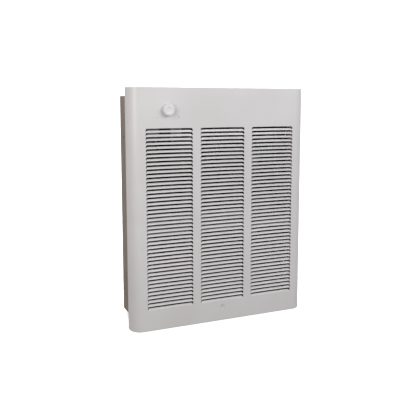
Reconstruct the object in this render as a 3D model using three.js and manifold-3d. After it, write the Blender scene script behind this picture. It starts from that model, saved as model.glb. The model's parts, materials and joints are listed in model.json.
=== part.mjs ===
// Recessed fan-forced wall heater, in millimetres.
// The datum is the centre of the wall box's back face: the room is towards -Y, up is +Z.
import * as THREE from 'three';
import { mergeVertices } from 'three/addons/utils/BufferGeometryUtils.js';
import Module from 'manifold-3d';

const wasm = await Module();
wasm.setup();

// ---------------------------------------------------------------- driving dimensions
// Wall box
const boxWidth = 372;
const boxHeight = 478;
const boxDepth = 102;
const boxSheet = 1.2;
const boxRim = 10;
const bossHeight = 5;
const bossRadius = 11;
const bossDraft = 3;
const bossInsetX = 18;
const bossInsetZ = 27;
const knockoutDiameter = 22.2;
const knockoutStep = 0.6;
const nailHoleDiameter = 5.5;

// Front cover
const coverDepth = 33;
const coverSheet = 1.2;
const coverBendRadius = 26;
const coverSideLap = 17;
const coverTopLap = 16.7;
const coverBottomLap = 10.3;
const coverScrewRise = 31.7;
const coverReturnGap = 1;

// Louvers
const louverPitch = 8.2;
const louverWidth = 101.3;
const louverMullion = 18;
const louverTopMargin = 83.3;
const louverBottomMargin = 44.5;
const louverGap = 3.85;
const louverSet = 3.8;
const louverLand = 0.9;
const louverEndTaper = 1.5;

// Clearances
const seat = 0.3;
const bearingGap = 0.2;
const slip = 0.5;
const sheetScrewHole = 2.3;
const sheetScrewRadius = 2;
const sheetScrewLength = 8;
const chassisScrewRadius = 2.1;
const chassisScrewBite = 4;
const strapScrewHead = 3.6;

// Chassis and air path
const chassisSheet = 1.2;
const chassisEntry = 2;
const chassisFrontGap = 4;
const fanPanelDepth = 83;
const dividerDrop = 136;
const dividerFlange = 12;
const dividerLip = 8;
const dividerNoseGap = 2.4;
const deflectorTopDrop = 24;
const deflectorFloorGap = 3.8;
const deflectorFrontGap = 3.8;
const deflectorSheet = 1;
const deflectorStandoff = 7;
const deflectorLip = 4;

// Fan and motor
const fanAxisX = 35;
const fanDrop = 127;
const fanDiameter = 190;
const fanTipGap = 3.5;
const fanBladeCount = 5;
const fanBladeChord = 62;
const fanBladePitch = 26;
const fanSheet = 1.4;
const fanDiscRadius = 30;
const bellRadius = 8;
const strapWidth = 34;
const strapStandoff = 25;
const strapFoot = 10;
const strapSheet = 1.5;
const strapBore = 13;
const motorDiameter = 84;
const motorLength = 42;
const motorWall = 2;
const shaftDiameter = 7.94;
const statorLength = 20;
const rotorDiameter = 47;
const airGap = 0.8;
const bearingWall = 3.2;
const bearingLength = 9;

// Heating element
const sheathDiameter = 8;
const elementPitch = 40;
const elementDrop = 59;
const elementDepth = 55;
const elementLeftMargin = 26.5;
const elementRightMargin = 34.5;
const finCount = 24;
const finHeight = 64;
const finDepth = 30;
const finSheet = 0.6;
const finEndMargin = 8;
const bracketSheet = 1.2;

// Thermostat and controls
const knobMargin = 51.6;
const knobDrop = 46;
const knobDiameter = 24;
const knobLength = 8.5;
const knobInset = 6;
const knobGap = 1;
const spindleDiameter = 6.35;
const spindleFlat = 1.1;
const bushingDiameter = 9.4;
const thermostatWidth = 38;
const thermostatHeight = 30;
const thermostatDepth = 28;
const controlPlateGap = 20.6;
const controlWidth = 72;
const controlHeight = 72;
const controlSheet = 1.2;
const switchRise = 18.4;
const switchWidth = 19;
const switchHeight = 25;
const switchDepth = 21;
const rockerTilt = 10;
const cutoutX = 80;
const delayX = -60;
const cutoutRadius = 8;
const buttonDiameter = 4.4;
const buttonTravel = 1.5;
const bulbDiameter = 6.4;
const bulbLength = 56;

// ---------------------------------------------------------------- places worked out
const coverWidth = boxWidth + 2 * coverSideLap;
const coverHeight = boxHeight + coverTopLap + coverBottomLap;
const rimY = -boxDepth;
const faceY = rimY - coverDepth;
const faceInnerY = faceY + coverSheet;
const boxTopZ = boxHeight / 2;
const coverTopZ = boxTopZ + coverTopLap;
const coverBottomZ = coverTopZ - coverHeight;
const mouthHalfWidth = boxWidth / 2 - boxRim;
const mouthHalfHeight = boxHeight / 2 - boxRim;
const chassisHalfWidth = mouthHalfWidth - chassisEntry;
const chassisHalfHeight = mouthHalfHeight - chassisEntry;
const fanAxisZ = chassisHalfHeight - fanDrop;
const dividerHeight = fanAxisZ - dividerDrop;
const bossFaceY = -boxSheet - bossHeight;
const panelRearY = faceY + fanPanelDepth;
const panelFrontY = panelRearY - chassisSheet;
const orificeRadius = fanDiameter / 2 + fanTipGap;
const louverInnerY = faceY + louverSet + coverSheet;
const louverTopZ = coverTopZ - louverTopMargin;
const louverSpacing = louverWidth + louverMullion;
const louverColumns = Math.floor((coverWidth - 2 * coverBendRadius + louverMullion) / louverSpacing);
const louverRows = Math.round((coverHeight - louverTopMargin - louverBottomMargin) / louverPitch);
const dividerNoseY = louverInnerY + dividerNoseGap;
const shelfBottomZ = dividerHeight - chassisSheet;
const innerHalfWidth = chassisHalfWidth - chassisSheet - seat;
const knobX = -chassisHalfWidth + knobMargin;
const knobZ = coverTopZ - knobDrop;
const controlFrontY = faceInnerY + controlPlateGap;
const controlRearY = controlFrontY + controlSheet;
const strapLeg = orificeRadius + bellRadius + 3.5;
const strapRearY = panelFrontY - seat - strapStandoff;
const strapFrontY = strapRearY - strapSheet;
const motorRearY = strapFrontY - seat;
const motorFrontY = motorRearY - motorLength;
const elementY = faceY + elementDepth;
const elementLeft = innerHalfWidth - elementLeftMargin;
const elementRight = innerHalfWidth - elementRightMargin;
const elementTopZ = dividerHeight - elementDrop;
const controlTopZ = chassisHalfHeight - chassisSheet - slip;
const controlBottomZ = controlTopZ - controlHeight;
const switchZ = controlBottomZ + switchRise;
const tabRearY = controlRearY;

// ---------------------------------------------------------------- shape helpers
// A closed geometry becomes a solid once only its positions are kept and shared.
function solid(geometry) {
  const bare = geometry.clone();
  bare.deleteAttribute('normal');
  bare.deleteAttribute('uv');
  const merged = mergeVertices(bare, 1e-4);
  const index = merged.getIndex().array;
  const kept = [];
  for (let i = 0; i < index.length; i += 3) {
    const [a, b, c] = [index[i], index[i + 1], index[i + 2]];
    if (a !== b && b !== c && c !== a) kept.push(a, b, c);
  }
  const mesh = new wasm.Mesh({
    numProp: 3,
    vertProperties: new Float32Array(merged.getAttribute('position').array),
    triVerts: new Uint32Array(kept),
  });
  return new wasm.Manifold(mesh);
}

function box(x0, x1, y0, y1, z0, z1) {
  const geometry = new THREE.BoxGeometry(1, 1, 1);
  const corners = geometry.getAttribute('position');
  for (let i = 0; i < corners.count; i += 1) {
    const x = corners.getX(i) < 0 ? Math.min(x0, x1) : Math.max(x0, x1);
    const y = corners.getY(i) < 0 ? Math.min(y0, y1) : Math.max(y0, y1);
    const z = corners.getZ(i) < 0 ? Math.min(z0, z1) : Math.max(z0, z1);
    corners.setXYZ(i, x, y, z);
  }
  return solid(geometry);
}

// A shape pushed out by one unit, whose corners are then set to their exact places.
function push(shape, curveSegments, setPlace) {
  const geometry = new THREE.ExtrudeGeometry(shape, { depth: 1, bevelEnabled: false, curveSegments });
  const corners = geometry.getAttribute('position');
  for (let i = 0; i < corners.count; i += 1) {
    corners.setXYZ(i, ...setPlace(corners.getX(i), corners.getY(i), corners.getZ(i) > 0.5));
  }
  return geometry;
}

// A shape drawn in (x, y), pushed up from z0 to z1.
function pushZ(shape, z0, z1, curveSegments = 8) {
  return solid(push(shape, curveSegments, (x, y, far) => [x, y, far ? z1 : z0]));
}

// A shape drawn in (x, z), pushed from its front y0 back to y1.
function pushY(shape, y0, y1, curveSegments = 8) {
  return solid(push(shape, curveSegments, (x, z, far) => [x, far ? y0 : y1, z]));
}

// A shape drawn in (y, z), pushed from x0 to x1.
function pushX(shape, x0, x1, curveSegments = 8) {
  return solid(push(shape, curveSegments, (y, z, far) => [far ? x1 : x0, y, z]));
}

function outline(points) {
  return new THREE.Shape(points.map(([a, b]) => new THREE.Vector2(a, b)));
}

// A round bar along Y, from its front y0 back to y1.
function rodY(radius, y0, y1, x = 0, z = 0, sides = 20) {
  const geometry = new THREE.CylinderGeometry(radius, radius, y1 - y0, sides);
  geometry.translate(x, (y0 + y1) / 2, z);
  return solid(geometry);
}

function rodX(radius, x0, x1, y, z, sides = 12) {
  const geometry = new THREE.CylinderGeometry(radius, radius, x1 - x0, sides);
  geometry.rotateZ(Math.PI / 2);
  geometry.translate((x0 + x1) / 2, y, z);
  return solid(geometry);
}

function rodZ(radius, z0, z1, x, y, sides = 12) {
  const geometry = new THREE.CylinderGeometry(radius, radius, z1 - z0, sides);
  geometry.rotateX(Math.PI / 2);
  geometry.translate(x, y, (z0 + z1) / 2);
  return solid(geometry);
}

// A profile of [radius, y] points, front end first, turned about a line along Y through (x, z).
function turnY(profile, x, z, sides = 24) {
  const points = profile.map(([radius, y]) => new THREE.Vector2(radius, y));
  const geometry = new THREE.LatheGeometry(points, sides);
  geometry.translate(x, 0, z);
  return solid(geometry);
}

// A wire through the listed points, as a tube with a few flats.
function wire(points, radius, steps, sides = 6) {
  const path = new THREE.CatmullRomCurve3(points.map(([x, y, z]) => new THREE.Vector3(x, y, z)));
  const ring = [];
  for (let i = 0; i < sides; i += 1) {
    const angle = (2 * Math.PI * i) / sides;
    ring.push([radius * Math.cos(angle), radius * Math.sin(angle)]);
  }
  return solid(new THREE.ExtrudeGeometry(outline(ring), { steps, extrudePath: path, bevelEnabled: false }));
}

function hexagon(acrossFlats) {
  const radius = acrossFlats / Math.sqrt(3);
  const points = [];
  for (let i = 0; i < 6; i += 1) {
    const angle = (Math.PI / 3) * i;
    points.push([radius * Math.cos(angle), radius * Math.sin(angle)]);
  }
  return outline(points);
}

const heater = new THREE.Group();

// The solid's vertices and triangles, as a geometry.
function surface(body) {
  const mesh = body.getMesh();
  const geometry = new THREE.BufferGeometry();
  geometry.setAttribute('position', new THREE.BufferAttribute(new Float32Array(mesh.vertProperties), 3));
  geometry.setIndex(new THREE.BufferAttribute(new Uint32Array(mesh.triVerts), 1));
  return geometry;
}

function place(name, body, look) {
  const geometry = surface(body);
  geometry.computeVertexNormals();
  const node = new THREE.Mesh(geometry, look());
  node.name = name;
  heater.add(node);
  return node;
}

// ---------------------------------------------------------------- finishes
const finish = (color, roughness, metalness) => () =>
  new THREE.MeshStandardMaterial({ color, roughness, metalness, flatShading: true });
const coverEnamel = finish(0xd2d0d2, 0.45, 0.1);
const boxPaint = finish(0x7a6d67, 0.6, 0.3);
const galvanised = finish(0xa9adb0, 0.45, 0.9);
const rolledAluminium = finish(0xc9ccd0, 0.35, 1.0);
const brightSteel = finish(0xb4b6b8, 0.3, 1.0);
const siliconSteel = finish(0x6d6f72, 0.5, 0.8);
const bronze = finish(0xa07840, 0.5, 0.9);
const brazedSteel = finish(0x8a5238, 0.5, 0.7);
const ceramic = finish(0xe6e0d2, 0.4, 0.0);
const phenolic = finish(0x2b211c, 0.5, 0.0);
const knobPlastic = finish(0xe0dfe1, 0.4, 0.0);
const blackNylon = finish(0x1d1d1f, 0.45, 0.0);
const redPlastic = finish(0xb02a22, 0.4, 0.0);
const copper = finish(0xb5744a, 0.35, 1.0);
const wireBlack = finish(0x202022, 0.6, 0.0);
const blackPaint = finish(0x262527, 0.65, 0.1);
const greenSteel = finish(0x3f7a4a, 0.4, 0.6);

// ---------------------------------------------------------------- wall box
const bossX = chassisHalfWidth - chassisSheet - bossInsetX;
const bossZ = chassisHalfHeight - bossInsetZ;
const bossPlaces = [[-bossX, -bossZ], [bossX, -bossZ], [-bossX, bossZ], [bossX, bossZ]];
const chassisScrewHole = 2.4;

function wallBox() {
  const w = boxWidth / 2;
  const h = boxHeight / 2;
  let tray = box(-w, w, rimY, 0, -h, h);
  tray = tray.subtract(box(-w + boxSheet, w - boxSheet, rimY + boxSheet, -boxSheet, -h + boxSheet, h - boxSheet));
  tray = tray.subtract(box(-mouthHalfWidth, mouthHalfWidth, rimY - 1, rimY + 2 * boxSheet, -mouthHalfHeight,
    mouthHalfHeight));
  for (const [x, z] of bossPlaces) {
    const outer = [[0, bossFaceY], [bossRadius, bossFaceY], [bossRadius + bossDraft, -boxSheet / 2],
      [0, -boxSheet / 2]];
    const inner = [[0, bossFaceY + boxSheet], [bossRadius - boxSheet, bossFaceY + boxSheet],
      [bossRadius + bossDraft - boxSheet, 1], [0, 1]];
    tray = tray.add(turnY(outer, x, z, 12)).subtract(turnY(inner, x, z, 12));
    tray = tray.subtract(rodY(chassisScrewHole, bossFaceY - 1, 0, x, z, 8));
  }
  tray = pressKnockouts(tray);
  tray = punchNailHoles(tray);
  return punchHookSlots(tray);
}

// Knockouts are discs sheared a step inwards and still held in the sheet, clear of the corner boss.
const knockoutInset = 56;
const knockoutSpacing = 44;
function pressKnockouts(tray) {
  const r = knockoutDiameter / 2;
  const h = boxHeight / 2;
  let made = tray;
  for (const x of [-boxWidth / 2 + knockoutInset, -boxWidth / 2 + knockoutInset + knockoutSpacing]) {
    const z = -h + knockoutInset;
    made = made.add(rodY(r, -boxSheet - knockoutStep, -boxSheet / 2, x, z, 12));
    made = made.subtract(rodY(r - seat, -knockoutStep, 1, x, z, 12));
    const y = rimY / 2;
    made = made.add(rodZ(r, -h + boxSheet / 2, -h + boxSheet + knockoutStep, x, y, 12));
    made = made.subtract(rodZ(r - seat, -h - 1, -h + knockoutStep, x, y, 12));
    made = made.add(rodZ(r, h - boxSheet - knockoutStep, h - boxSheet / 2, x, y, 12));
    made = made.subtract(rodZ(r - seat, h - knockoutStep, h + 1, x, y, 12));
  }
  return made;
}

const nailInset = 89;
const nailRows = [-boxHeight / 2 + nailInset, boxHeight / 2 - nailInset];
const nailSetbacks = [28, 78];
function punchNailHoles(tray) {
  let made = tray;
  for (const side of [-1, 1]) {
    for (const z of nailRows) {
      for (const setback of nailSetbacks) {
        const x = side * (boxWidth / 2);
        made = made.subtract(rodX(nailHoleDiameter / 2, x - 3, x + 3, -setback, z, 8));
      }
    }
  }
  return made;
}

// The cover hangs on two hooks that drop behind the rim through these slots.
const hookX = 120;
const hookWidth = 14;
const hookSheet = 1.2;
const hookDrop = 6;
const hookSlotHeight = 5;
const hookShelfZ = boxTopZ - boxRim + 3;
function punchHookSlots(tray) {
  let made = tray;
  for (const x of [-hookX, hookX]) {
    made = made.subtract(box(x - hookWidth / 2 - slip, x + hookWidth / 2 + slip, rimY - 1, rimY + 3 * boxSheet,
      hookShelfZ - seat, hookShelfZ + hookSlotHeight));
  }
  return made;
}

// ---------------------------------------------------------------- front cover
// The bent section of the cover: straight rear edges, large bends, flat face.
function coverSection(inset, rearY) {
  const w = coverWidth / 2 - inset;
  const r = coverBendRadius - inset;
  const front = faceY + inset;
  const section = new THREE.Shape();
  section.moveTo(-w, rearY);
  section.lineTo(-w, front + r);
  section.absarc(-w + r, front + r, r, Math.PI, 1.5 * Math.PI, false);
  section.lineTo(w - r, front);
  section.absarc(w - r, front + r, r, 1.5 * Math.PI, 2 * Math.PI, false);
  section.lineTo(w, rearY);
  section.closePath();
  return section;
}

// One louver's blade, drawn with its slot's top edge at z = 0.
// It leans inwards from the slot's lower edge, and its ends are drawn in towards its tip.
const louverOpening = louverPitch - louverLand;
const louverRise = louverOpening - louverGap;

function louverBlade(leftX, rightX) {
  const slope = Math.hypot(louverRise, louverSet);
  const foldZ = -louverOpening - (coverSheet * (slope - louverRise)) / louverSet;
  const tip = [faceY + louverSet, -louverGap];
  const tipRear = [tip[0] + (coverSheet * louverRise) / slope, tip[1] - (coverSheet * louverSet) / slope];
  const section = outline([[faceY, -louverOpening], [faceInnerY, foldZ], tipRear, tip]);
  return solid(push(section, 1, (y, z, far) => {
    const drawIn = y > faceInnerY + seat ? louverEndTaper : 0;
    return [far ? rightX - drawIn : leftX + drawIn, y, z];
  }));
}

// The rear edges of both sides are folded in, to rest on the wall and to close the gap beside the box.
const returnInnerX = boxWidth / 2 + coverReturnGap;

const knobShaftHole = 12;
const coverScrewHole = 5;
const dimpleDepth = 1.2;
const dimpleMouth = 5.2;
const dimpleFloor = 3;
const dimpleDraft = 1.6;
const coverScrewZ = coverBottomZ + coverScrewRise;
const dimpleFloorY = faceY + dimpleDepth + seat;

function frontCover() {
  const shell = pushZ(coverSection(0, rimY), coverBottomZ, coverTopZ, 7);
  const inside = pushZ(coverSection(coverSheet, rimY + 1), coverBottomZ + coverSheet, coverTopZ - coverSheet, 7);
  let cover = shell.subtract(inside);
  for (let column = 0; column < louverColumns; column += 1) {
    const x = (column - (louverColumns - 1) / 2) * louverSpacing;
    const leftX = x - louverWidth / 2;
    const rightX = x + louverWidth / 2;
    const slot = box(leftX, rightX, faceY - 1, faceInnerY + 1, -louverOpening, 0);
    const blade = louverBlade(leftX, rightX);
    for (let row = 0; row < louverRows; row += 1) {
      const drop = [0, 0, louverTopZ - row * louverPitch];
      cover = cover.subtract(slot.translate(drop)).add(blade.translate(drop));
    }
  }
  cover = solid(surface(cover));
  for (const side of [-1, 1]) {
    cover = cover.add(box(side * returnInnerX, side * (coverWidth / 2 - coverSheet / 2), rimY - coverSheet, rimY,
      coverBottomZ + coverSheet / 2, coverTopZ - coverSheet / 2));
  }
  cover = cover.subtract(rodY(knobShaftHole / 2, faceY - 1, faceInnerY + 1, knobX, knobZ, 20));
  cover = pressDimple(cover);
  for (const x of [-hookX, hookX]) cover = cover.add(coverHook(x));
  return cover;
}

// The face is pressed in round the cover screw, so that the screw's head lies below it.
function pressDimple(cover) {
  const rearY = faceInnerY + dimpleDepth;
  const outer = [[0, faceY + coverSheet / 4], [dimpleMouth, faceY + coverSheet / 4],
    [dimpleMouth - dimpleDraft, rearY], [0, rearY]];
  const inner = [[0, faceY - 1], [dimpleMouth, faceY - 1], [dimpleMouth - dimpleDraft / 2, faceY],
    [dimpleFloor, dimpleFloorY], [coverScrewHole / 2, dimpleFloorY], [coverScrewHole / 2, rearY + 3],
    [0, rearY + 3]];
  return cover.add(turnY(outer, 0, coverScrewZ, 16)).subtract(turnY(inner, 0, coverScrewZ, 16));
}

// A strip under the top flange that runs down, back through the rim's slot and down behind it.
function coverHook(x) {
  const frontY = rimY - 2 - hookSheet;
  const backY = rimY + boxSheet + 1 + hookSheet;
  const shape = outline([[frontY, coverTopZ - coverSheet / 2], [frontY, hookShelfZ],
    [backY - hookSheet, hookShelfZ], [backY - hookSheet, hookShelfZ - hookDrop], [backY, hookShelfZ - hookDrop],
    [backY, hookShelfZ + hookSheet], [frontY + hookSheet, hookShelfZ + hookSheet],
    [frontY + hookSheet, coverTopZ - coverSheet / 2]]);
  return pushX(shape, x - hookWidth / 2, x + hookWidth / 2);
}

// ---------------------------------------------------------------- cover screw and its bracket
const screwBracketWidth = 24;
const screwBracketFoot = 9;
const screwBracketTop = 10;
const coverScrewRadius = 1.95;
const coverScrewHead = 2.8;
const coverScrewReach = 12;
const crossSlot = 0.35;
const bracketFaceY = faceInnerY + dimpleDepth + seat;

function coverScrewBracket() {
  const footZ = -mouthHalfHeight - screwBracketFoot;
  const webZ = -mouthHalfHeight;
  const shape = outline([[rimY - seat, footZ], [rimY - seat, webZ], [bracketFaceY + bracketSheet, webZ],
    [bracketFaceY + bracketSheet, coverScrewZ + screwBracketTop], [bracketFaceY, coverScrewZ + screwBracketTop],
    [bracketFaceY, webZ - bracketSheet], [rimY - seat - bracketSheet, webZ - bracketSheet],
    [rimY - seat - bracketSheet, footZ]]);
  const made = pushX(shape, -screwBracketWidth / 2, screwBracketWidth / 2);
  return made.subtract(rodY(coverScrewRadius + bearingGap, bracketFaceY - 1, bracketFaceY + 3, 0, coverScrewZ, 12));
}

function coverScrew() {
  const headY = dimpleFloorY - seat / 2;
  const profile = [[0, headY - 1.6], [1.6, headY - 1.5], [coverScrewHead, headY - 0.7], [coverScrewHead, headY],
    [coverScrewRadius, headY], [coverScrewRadius, headY + coverScrewReach - 2], [1.2, headY + coverScrewReach],
    [0, headY + coverScrewReach]];
  let screw = turnY(profile, 0, coverScrewZ, 12);
  screw = screw.subtract(box(-1.6, 1.6, headY - 3, headY - 0.8, coverScrewZ - crossSlot, coverScrewZ + crossSlot));
  return screw.subtract(box(-crossSlot, crossSlot, headY - 3, headY - 0.8, coverScrewZ - 1.6, coverScrewZ + 1.6));
}

// ---------------------------------------------------------------- chassis
const bellSteps = 3;
const bellSides = 28;
const footHeight = 24;
const footReach = bossInsetX + footHeight / 2;
const topFlangeDepth = 10;
const groundMargin = 32;
const groundRise = 18;
const groundX = -chassisHalfWidth + groundMargin;
const groundZ = fanAxisZ + groundRise;
const dividerScrewLeft = 44;
const dividerScrewRight = 34;
const dividerScrewXs = [-chassisHalfWidth + dividerScrewLeft, chassisHalfWidth - dividerScrewRight];
const dividerScrewZ = dividerHeight + dividerFlange / 2 + slip;
const strapScrewReach = strapLeg + (strapSheet + strapFoot) / 2;
const strapScrewZs = [fanAxisZ - strapScrewReach, fanAxisZ + strapScrewReach];
const panelScrewPlaces = [[groundX, groundZ], ...dividerScrewXs.map((x) => [x, dividerScrewZ]),
  ...strapScrewZs.map((z) => [fanAxisX, z])];

// One folded sheet: the fan panel, two side walls over the full height and four feet.
function chassis() {
  const w = chassisHalfWidth;
  const h = chassisHalfHeight;
  const frontY = rimY + chassisFrontGap;
  const footY = bossFaceY - seat - chassisSheet;
  let made = box(-w, w, panelFrontY, panelRearY, dividerHeight, h);
  for (const side of [-1, 1]) {
    made = made.add(box(side * (w - chassisSheet), side * w, frontY, footY + chassisSheet, -h, h));
    for (const z of [-bossZ, bossZ]) {
      const inner = side * (w - footReach);
      made = made.add(box(inner, side * (w - chassisSheet / 2), footY, footY + chassisSheet, z - footHeight / 2,
        z + footHeight / 2));
    }
  }
  for (const [x, z] of bossPlaces) made = made.subtract(rodY(chassisScrewHole, footY - 1, 0, x, z, 8));
  made = made.subtract(rodY(orificeRadius + chassisSheet / 2, panelFrontY - 1, panelRearY + 1, fanAxisX, fanAxisZ,
    bellSides));
  made = made.add(turnY(bellMouth(), fanAxisX, fanAxisZ, bellSides));
  made = made.add(box(-w + chassisSheet / 2, w - chassisSheet / 2, panelFrontY - topFlangeDepth,
    panelFrontY + chassisSheet / 2, h - chassisSheet, h));
  for (const [x, z] of panelScrewPlaces) {
    made = made.subtract(rodY(sheetScrewHole, panelFrontY - 1, panelRearY + 1, x, z, 8));
  }
  return made;
}

// The orifice's edge is drawn forward into a quarter-round bell.
function bellMouth() {
  const points = [[orificeRadius, panelRearY]];
  const quarter = (radius, startRadius, steps) => steps.map((step) => {
    const angle = (step / bellSteps) * (Math.PI / 2);
    return [startRadius + radius * (1 - Math.cos(angle)), panelFrontY - radius * Math.sin(angle)];
  });
  const steps = Array.from({ length: bellSteps + 1 }, (_, i) => i);
  points.push(...quarter(bellRadius, orificeRadius, steps));
  points.push(...quarter(bellRadius - chassisSheet, orificeRadius + chassisSheet, steps.reverse()));
  points.push([orificeRadius + chassisSheet, panelRearY], [orificeRadius, panelRearY]);
  return points;
}

// A pan-head screw that points back: the head's seat is at seatY.
function panScrew(x, seatY, z, radius, length, headRadius = radius * 2, headHeight = radius * 1.2) {
  const profile = [[0, seatY - headHeight], [headRadius * 0.7, seatY - headHeight], [headRadius, seatY],
    [radius, seatY], [radius, seatY + length], [0, seatY + length]];
  return turnY(profile, x, z, 8);
}

// ---------------------------------------------------------------- air path
const tabSize = 32;
const cutoutZ = shelfBottomZ - tabSize / 2;
const grommetMargin = 12.5;
const grommetX = -innerHalfWidth + grommetMargin;
const grommetY = elementY;
const grommetRadius = 6.5;
const grommetFlange = 2.2;
const grommetBore = 4.6;

// The shelf has an up-turned rear flange, a down-turned lip, and a tab for each snap switch.
function airDivider() {
  const w = innerHalfWidth;
  const rear = panelFrontY - seat;
  const shape = outline([[rear, dividerHeight + dividerFlange], [rear - chassisSheet, dividerHeight + dividerFlange],
    [rear - chassisSheet, dividerHeight], [dividerNoseY, dividerHeight], [dividerNoseY, shelfBottomZ - dividerLip],
    [dividerNoseY + chassisSheet, shelfBottomZ - dividerLip], [dividerNoseY + chassisSheet, shelfBottomZ],
    [rear, shelfBottomZ]]);
  let shelf = pushX(shape, -w, w);
  for (const x of [cutoutX, delayX]) {
    shelf = shelf.add(box(x - tabSize / 2, x + tabSize / 2, tabRearY - chassisSheet, tabRearY,
      shelfBottomZ - tabSize, shelfBottomZ + chassisSheet / 2));
    shelf = shelf.subtract(rodY(cutoutRadius + seat, tabRearY - 3, tabRearY + 1, x, cutoutZ, 20));
  }
  for (const x of dividerScrewXs) {
    shelf = shelf.subtract(rodY(sheetScrewHole, rear - 3, rear + 1, x, dividerScrewZ, 8));
  }
  return shelf.subtract(rodZ(grommetRadius, shelfBottomZ - 1, dividerHeight + 1, grommetX, grommetY, 16));
}

function grommet() {
  const r = grommetRadius - seat;
  const top = dividerHeight + seat;
  const bottom = shelfBottomZ - seat;
  const points = [[grommetBore, bottom - 2], [r + grommetFlange, bottom - 2], [r + grommetFlange, bottom],
    [r, bottom], [r, top], [r + grommetFlange, top], [r + grommetFlange, top + 2], [grommetBore, top + 2],
    [grommetBore, bottom - 2]];
  const geometry = new THREE.LatheGeometry(points.map(([radius, z]) => new THREE.Vector2(radius, z)), 12);
  geometry.rotateX(Math.PI / 2);
  geometry.translate(grommetX, grommetY, 0);
  return solid(geometry);
}

// The deflector turns the falling air forward: a quarter ellipse with a short front lip.
function airDeflector() {
  const topZ = shelfBottomZ - deflectorTopDrop;
  const rearY = -boxSheet - deflectorStandoff;
  const centreY = rimY + chassisFrontGap + deflectorFrontGap;
  const deflectorReach = rearY - centreY;
  const deflectorRise = topZ + chassisHalfHeight - deflectorFloorGap;
  const shape = new THREE.Shape();
  shape.moveTo(rearY, topZ);
  shape.absellipse(centreY, topZ, deflectorReach, deflectorRise, 0, -Math.PI / 2, true, 0);
  shape.lineTo(centreY, topZ - deflectorRise + deflectorSheet);
  shape.absellipse(centreY, topZ, deflectorReach - deflectorSheet, deflectorRise - deflectorSheet, -Math.PI / 2, 0,
    false, 0);
  shape.closePath();
  const sweep = pushX(shape, -innerHalfWidth, innerHalfWidth, 10);
  const lip = box(-innerHalfWidth, innerHalfWidth, centreY - deflectorLip, centreY + 1, topZ - deflectorRise,
    topZ - deflectorRise + deflectorSheet);
  return sweep.add(lip);
}

// ---------------------------------------------------------------- motor
function motorStrap() {
  const top = strapLeg + strapSheet;
  const rear = panelFrontY - seat;
  const points = [[rear, strapLeg + strapFoot], [rear, strapLeg], [strapRearY, strapLeg], [strapRearY, -strapLeg],
    [rear, -strapLeg], [rear, -strapLeg - strapFoot], [rear - strapSheet, -strapLeg - strapFoot],
    [rear - strapSheet, -top], [strapFrontY, -top], [strapFrontY, top], [rear - strapSheet, top],
    [rear - strapSheet, strapLeg + strapFoot]];
  const shape = outline(points.map(([y, z]) => [y, z + fanAxisZ]));
  let strap = pushX(shape, fanAxisX - strapWidth / 2, fanAxisX + strapWidth / 2);
  strap = strap.subtract(rodY(strapBore, strapFrontY - 1, strapRearY + 1, fanAxisX, fanAxisZ, 20));
  for (const z of strapScrewZs) strap = strap.subtract(rodY(sheetScrewHole, rear - 3, rear + 1, fanAxisX, z, 8));
  for (const z of motorScrewZs) {
    strap = strap.subtract(rodY(sheetScrewHole, strapFrontY - 1, strapRearY + 1, fanAxisX, z, 8));
  }
  return strap;
}

const motorSides = 18;
const motorRibs = 8;
const motorRibHeight = 2.4;
const motorRibWidth = 2;
const motorNose = 10;
const motorShoulder = 3;
const motorScrewOffset = 26;
const motorScrewZs = [fanAxisZ - motorScrewOffset, fanAxisZ + motorScrewOffset];
const endCapThickness = 3;
const shaftRadius = shaftDiameter / 2;
const bearingBore = shaftRadius + bearingGap;
const bearingOuter = bearingBore + bearingWall;
const bearingHole = bearingOuter + bearingGap;
const bossOuter = bearingHole + 3;
const windowY = motorRearY - endCapThickness - seat;
const bossEnd = motorRearY - bearingLength - 2;

function motorEndCap() {
  const r = motorDiameter / 2;
  const profile = [[0, motorRearY - endCapThickness], [r, motorRearY - endCapThickness],
    [r, motorRearY - 1], [r - 1, motorRearY], [0, motorRearY]];
  let cap = turnY(profile, fanAxisX, fanAxisZ, motorSides);
  cap = cap.add(rodY(bossOuter, bossEnd, motorRearY - 1, fanAxisX, fanAxisZ, 16));
  cap = cap.subtract(rodY(bearingHole, bossEnd - 1, motorRearY + 1, fanAxisX, fanAxisZ, 16));
  for (const z of motorScrewZs) {
    cap = cap.subtract(rodY(sheetScrewHole, motorRearY - endCapThickness - 1, motorRearY + 1, fanAxisX, z, 8));
  }
  return cap;
}

// A cast cup with cooling ribs round it and the front bearing's seat inside.
function motorHousing() {
  const r = motorDiameter / 2;
  const bossStart = motorFrontY + bearingLength + 2;
  const profile = [[0, motorFrontY], [r - motorNose, motorFrontY], [r - motorShoulder, motorFrontY + motorShoulder],
    [r, motorFrontY + motorNose], [r, windowY], [r - motorWall, windowY],
    [r - motorWall, motorFrontY + motorNose + 1], [r - 3 * motorWall, motorFrontY + 2 * motorWall],
    [bossOuter, motorFrontY + motorShoulder], [bossOuter, bossStart], [bearingHole, bossStart],
    [bearingHole, motorFrontY + motorWall], [0, motorFrontY + motorWall]];
  let cup = turnY(profile, fanAxisX, fanAxisZ, motorSides);
  for (let i = 0; i < motorRibs; i += 1) {
    const rib = box(fanAxisX + r - motorWall / 2, fanAxisX + r + motorRibHeight, motorFrontY + motorNose, windowY,
      -motorRibWidth / 2, motorRibWidth / 2);
    cup = cup.add(turned(rib.translate([0, 0, fanAxisZ]), (360 / motorRibs) * (i + 0.5)));
  }
  return cup;
}

// A copy of the solid, turned about the fan axis.
function turned(body, degrees) {
  return body.translate([-fanAxisX, 0, -fanAxisZ]).rotate([0, degrees, 0]).translate([fanAxisX, 0, fanAxisZ]);
}

const statorFrontY = motorFrontY + 13;
const statorRearY = statorFrontY + statorLength;

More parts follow.
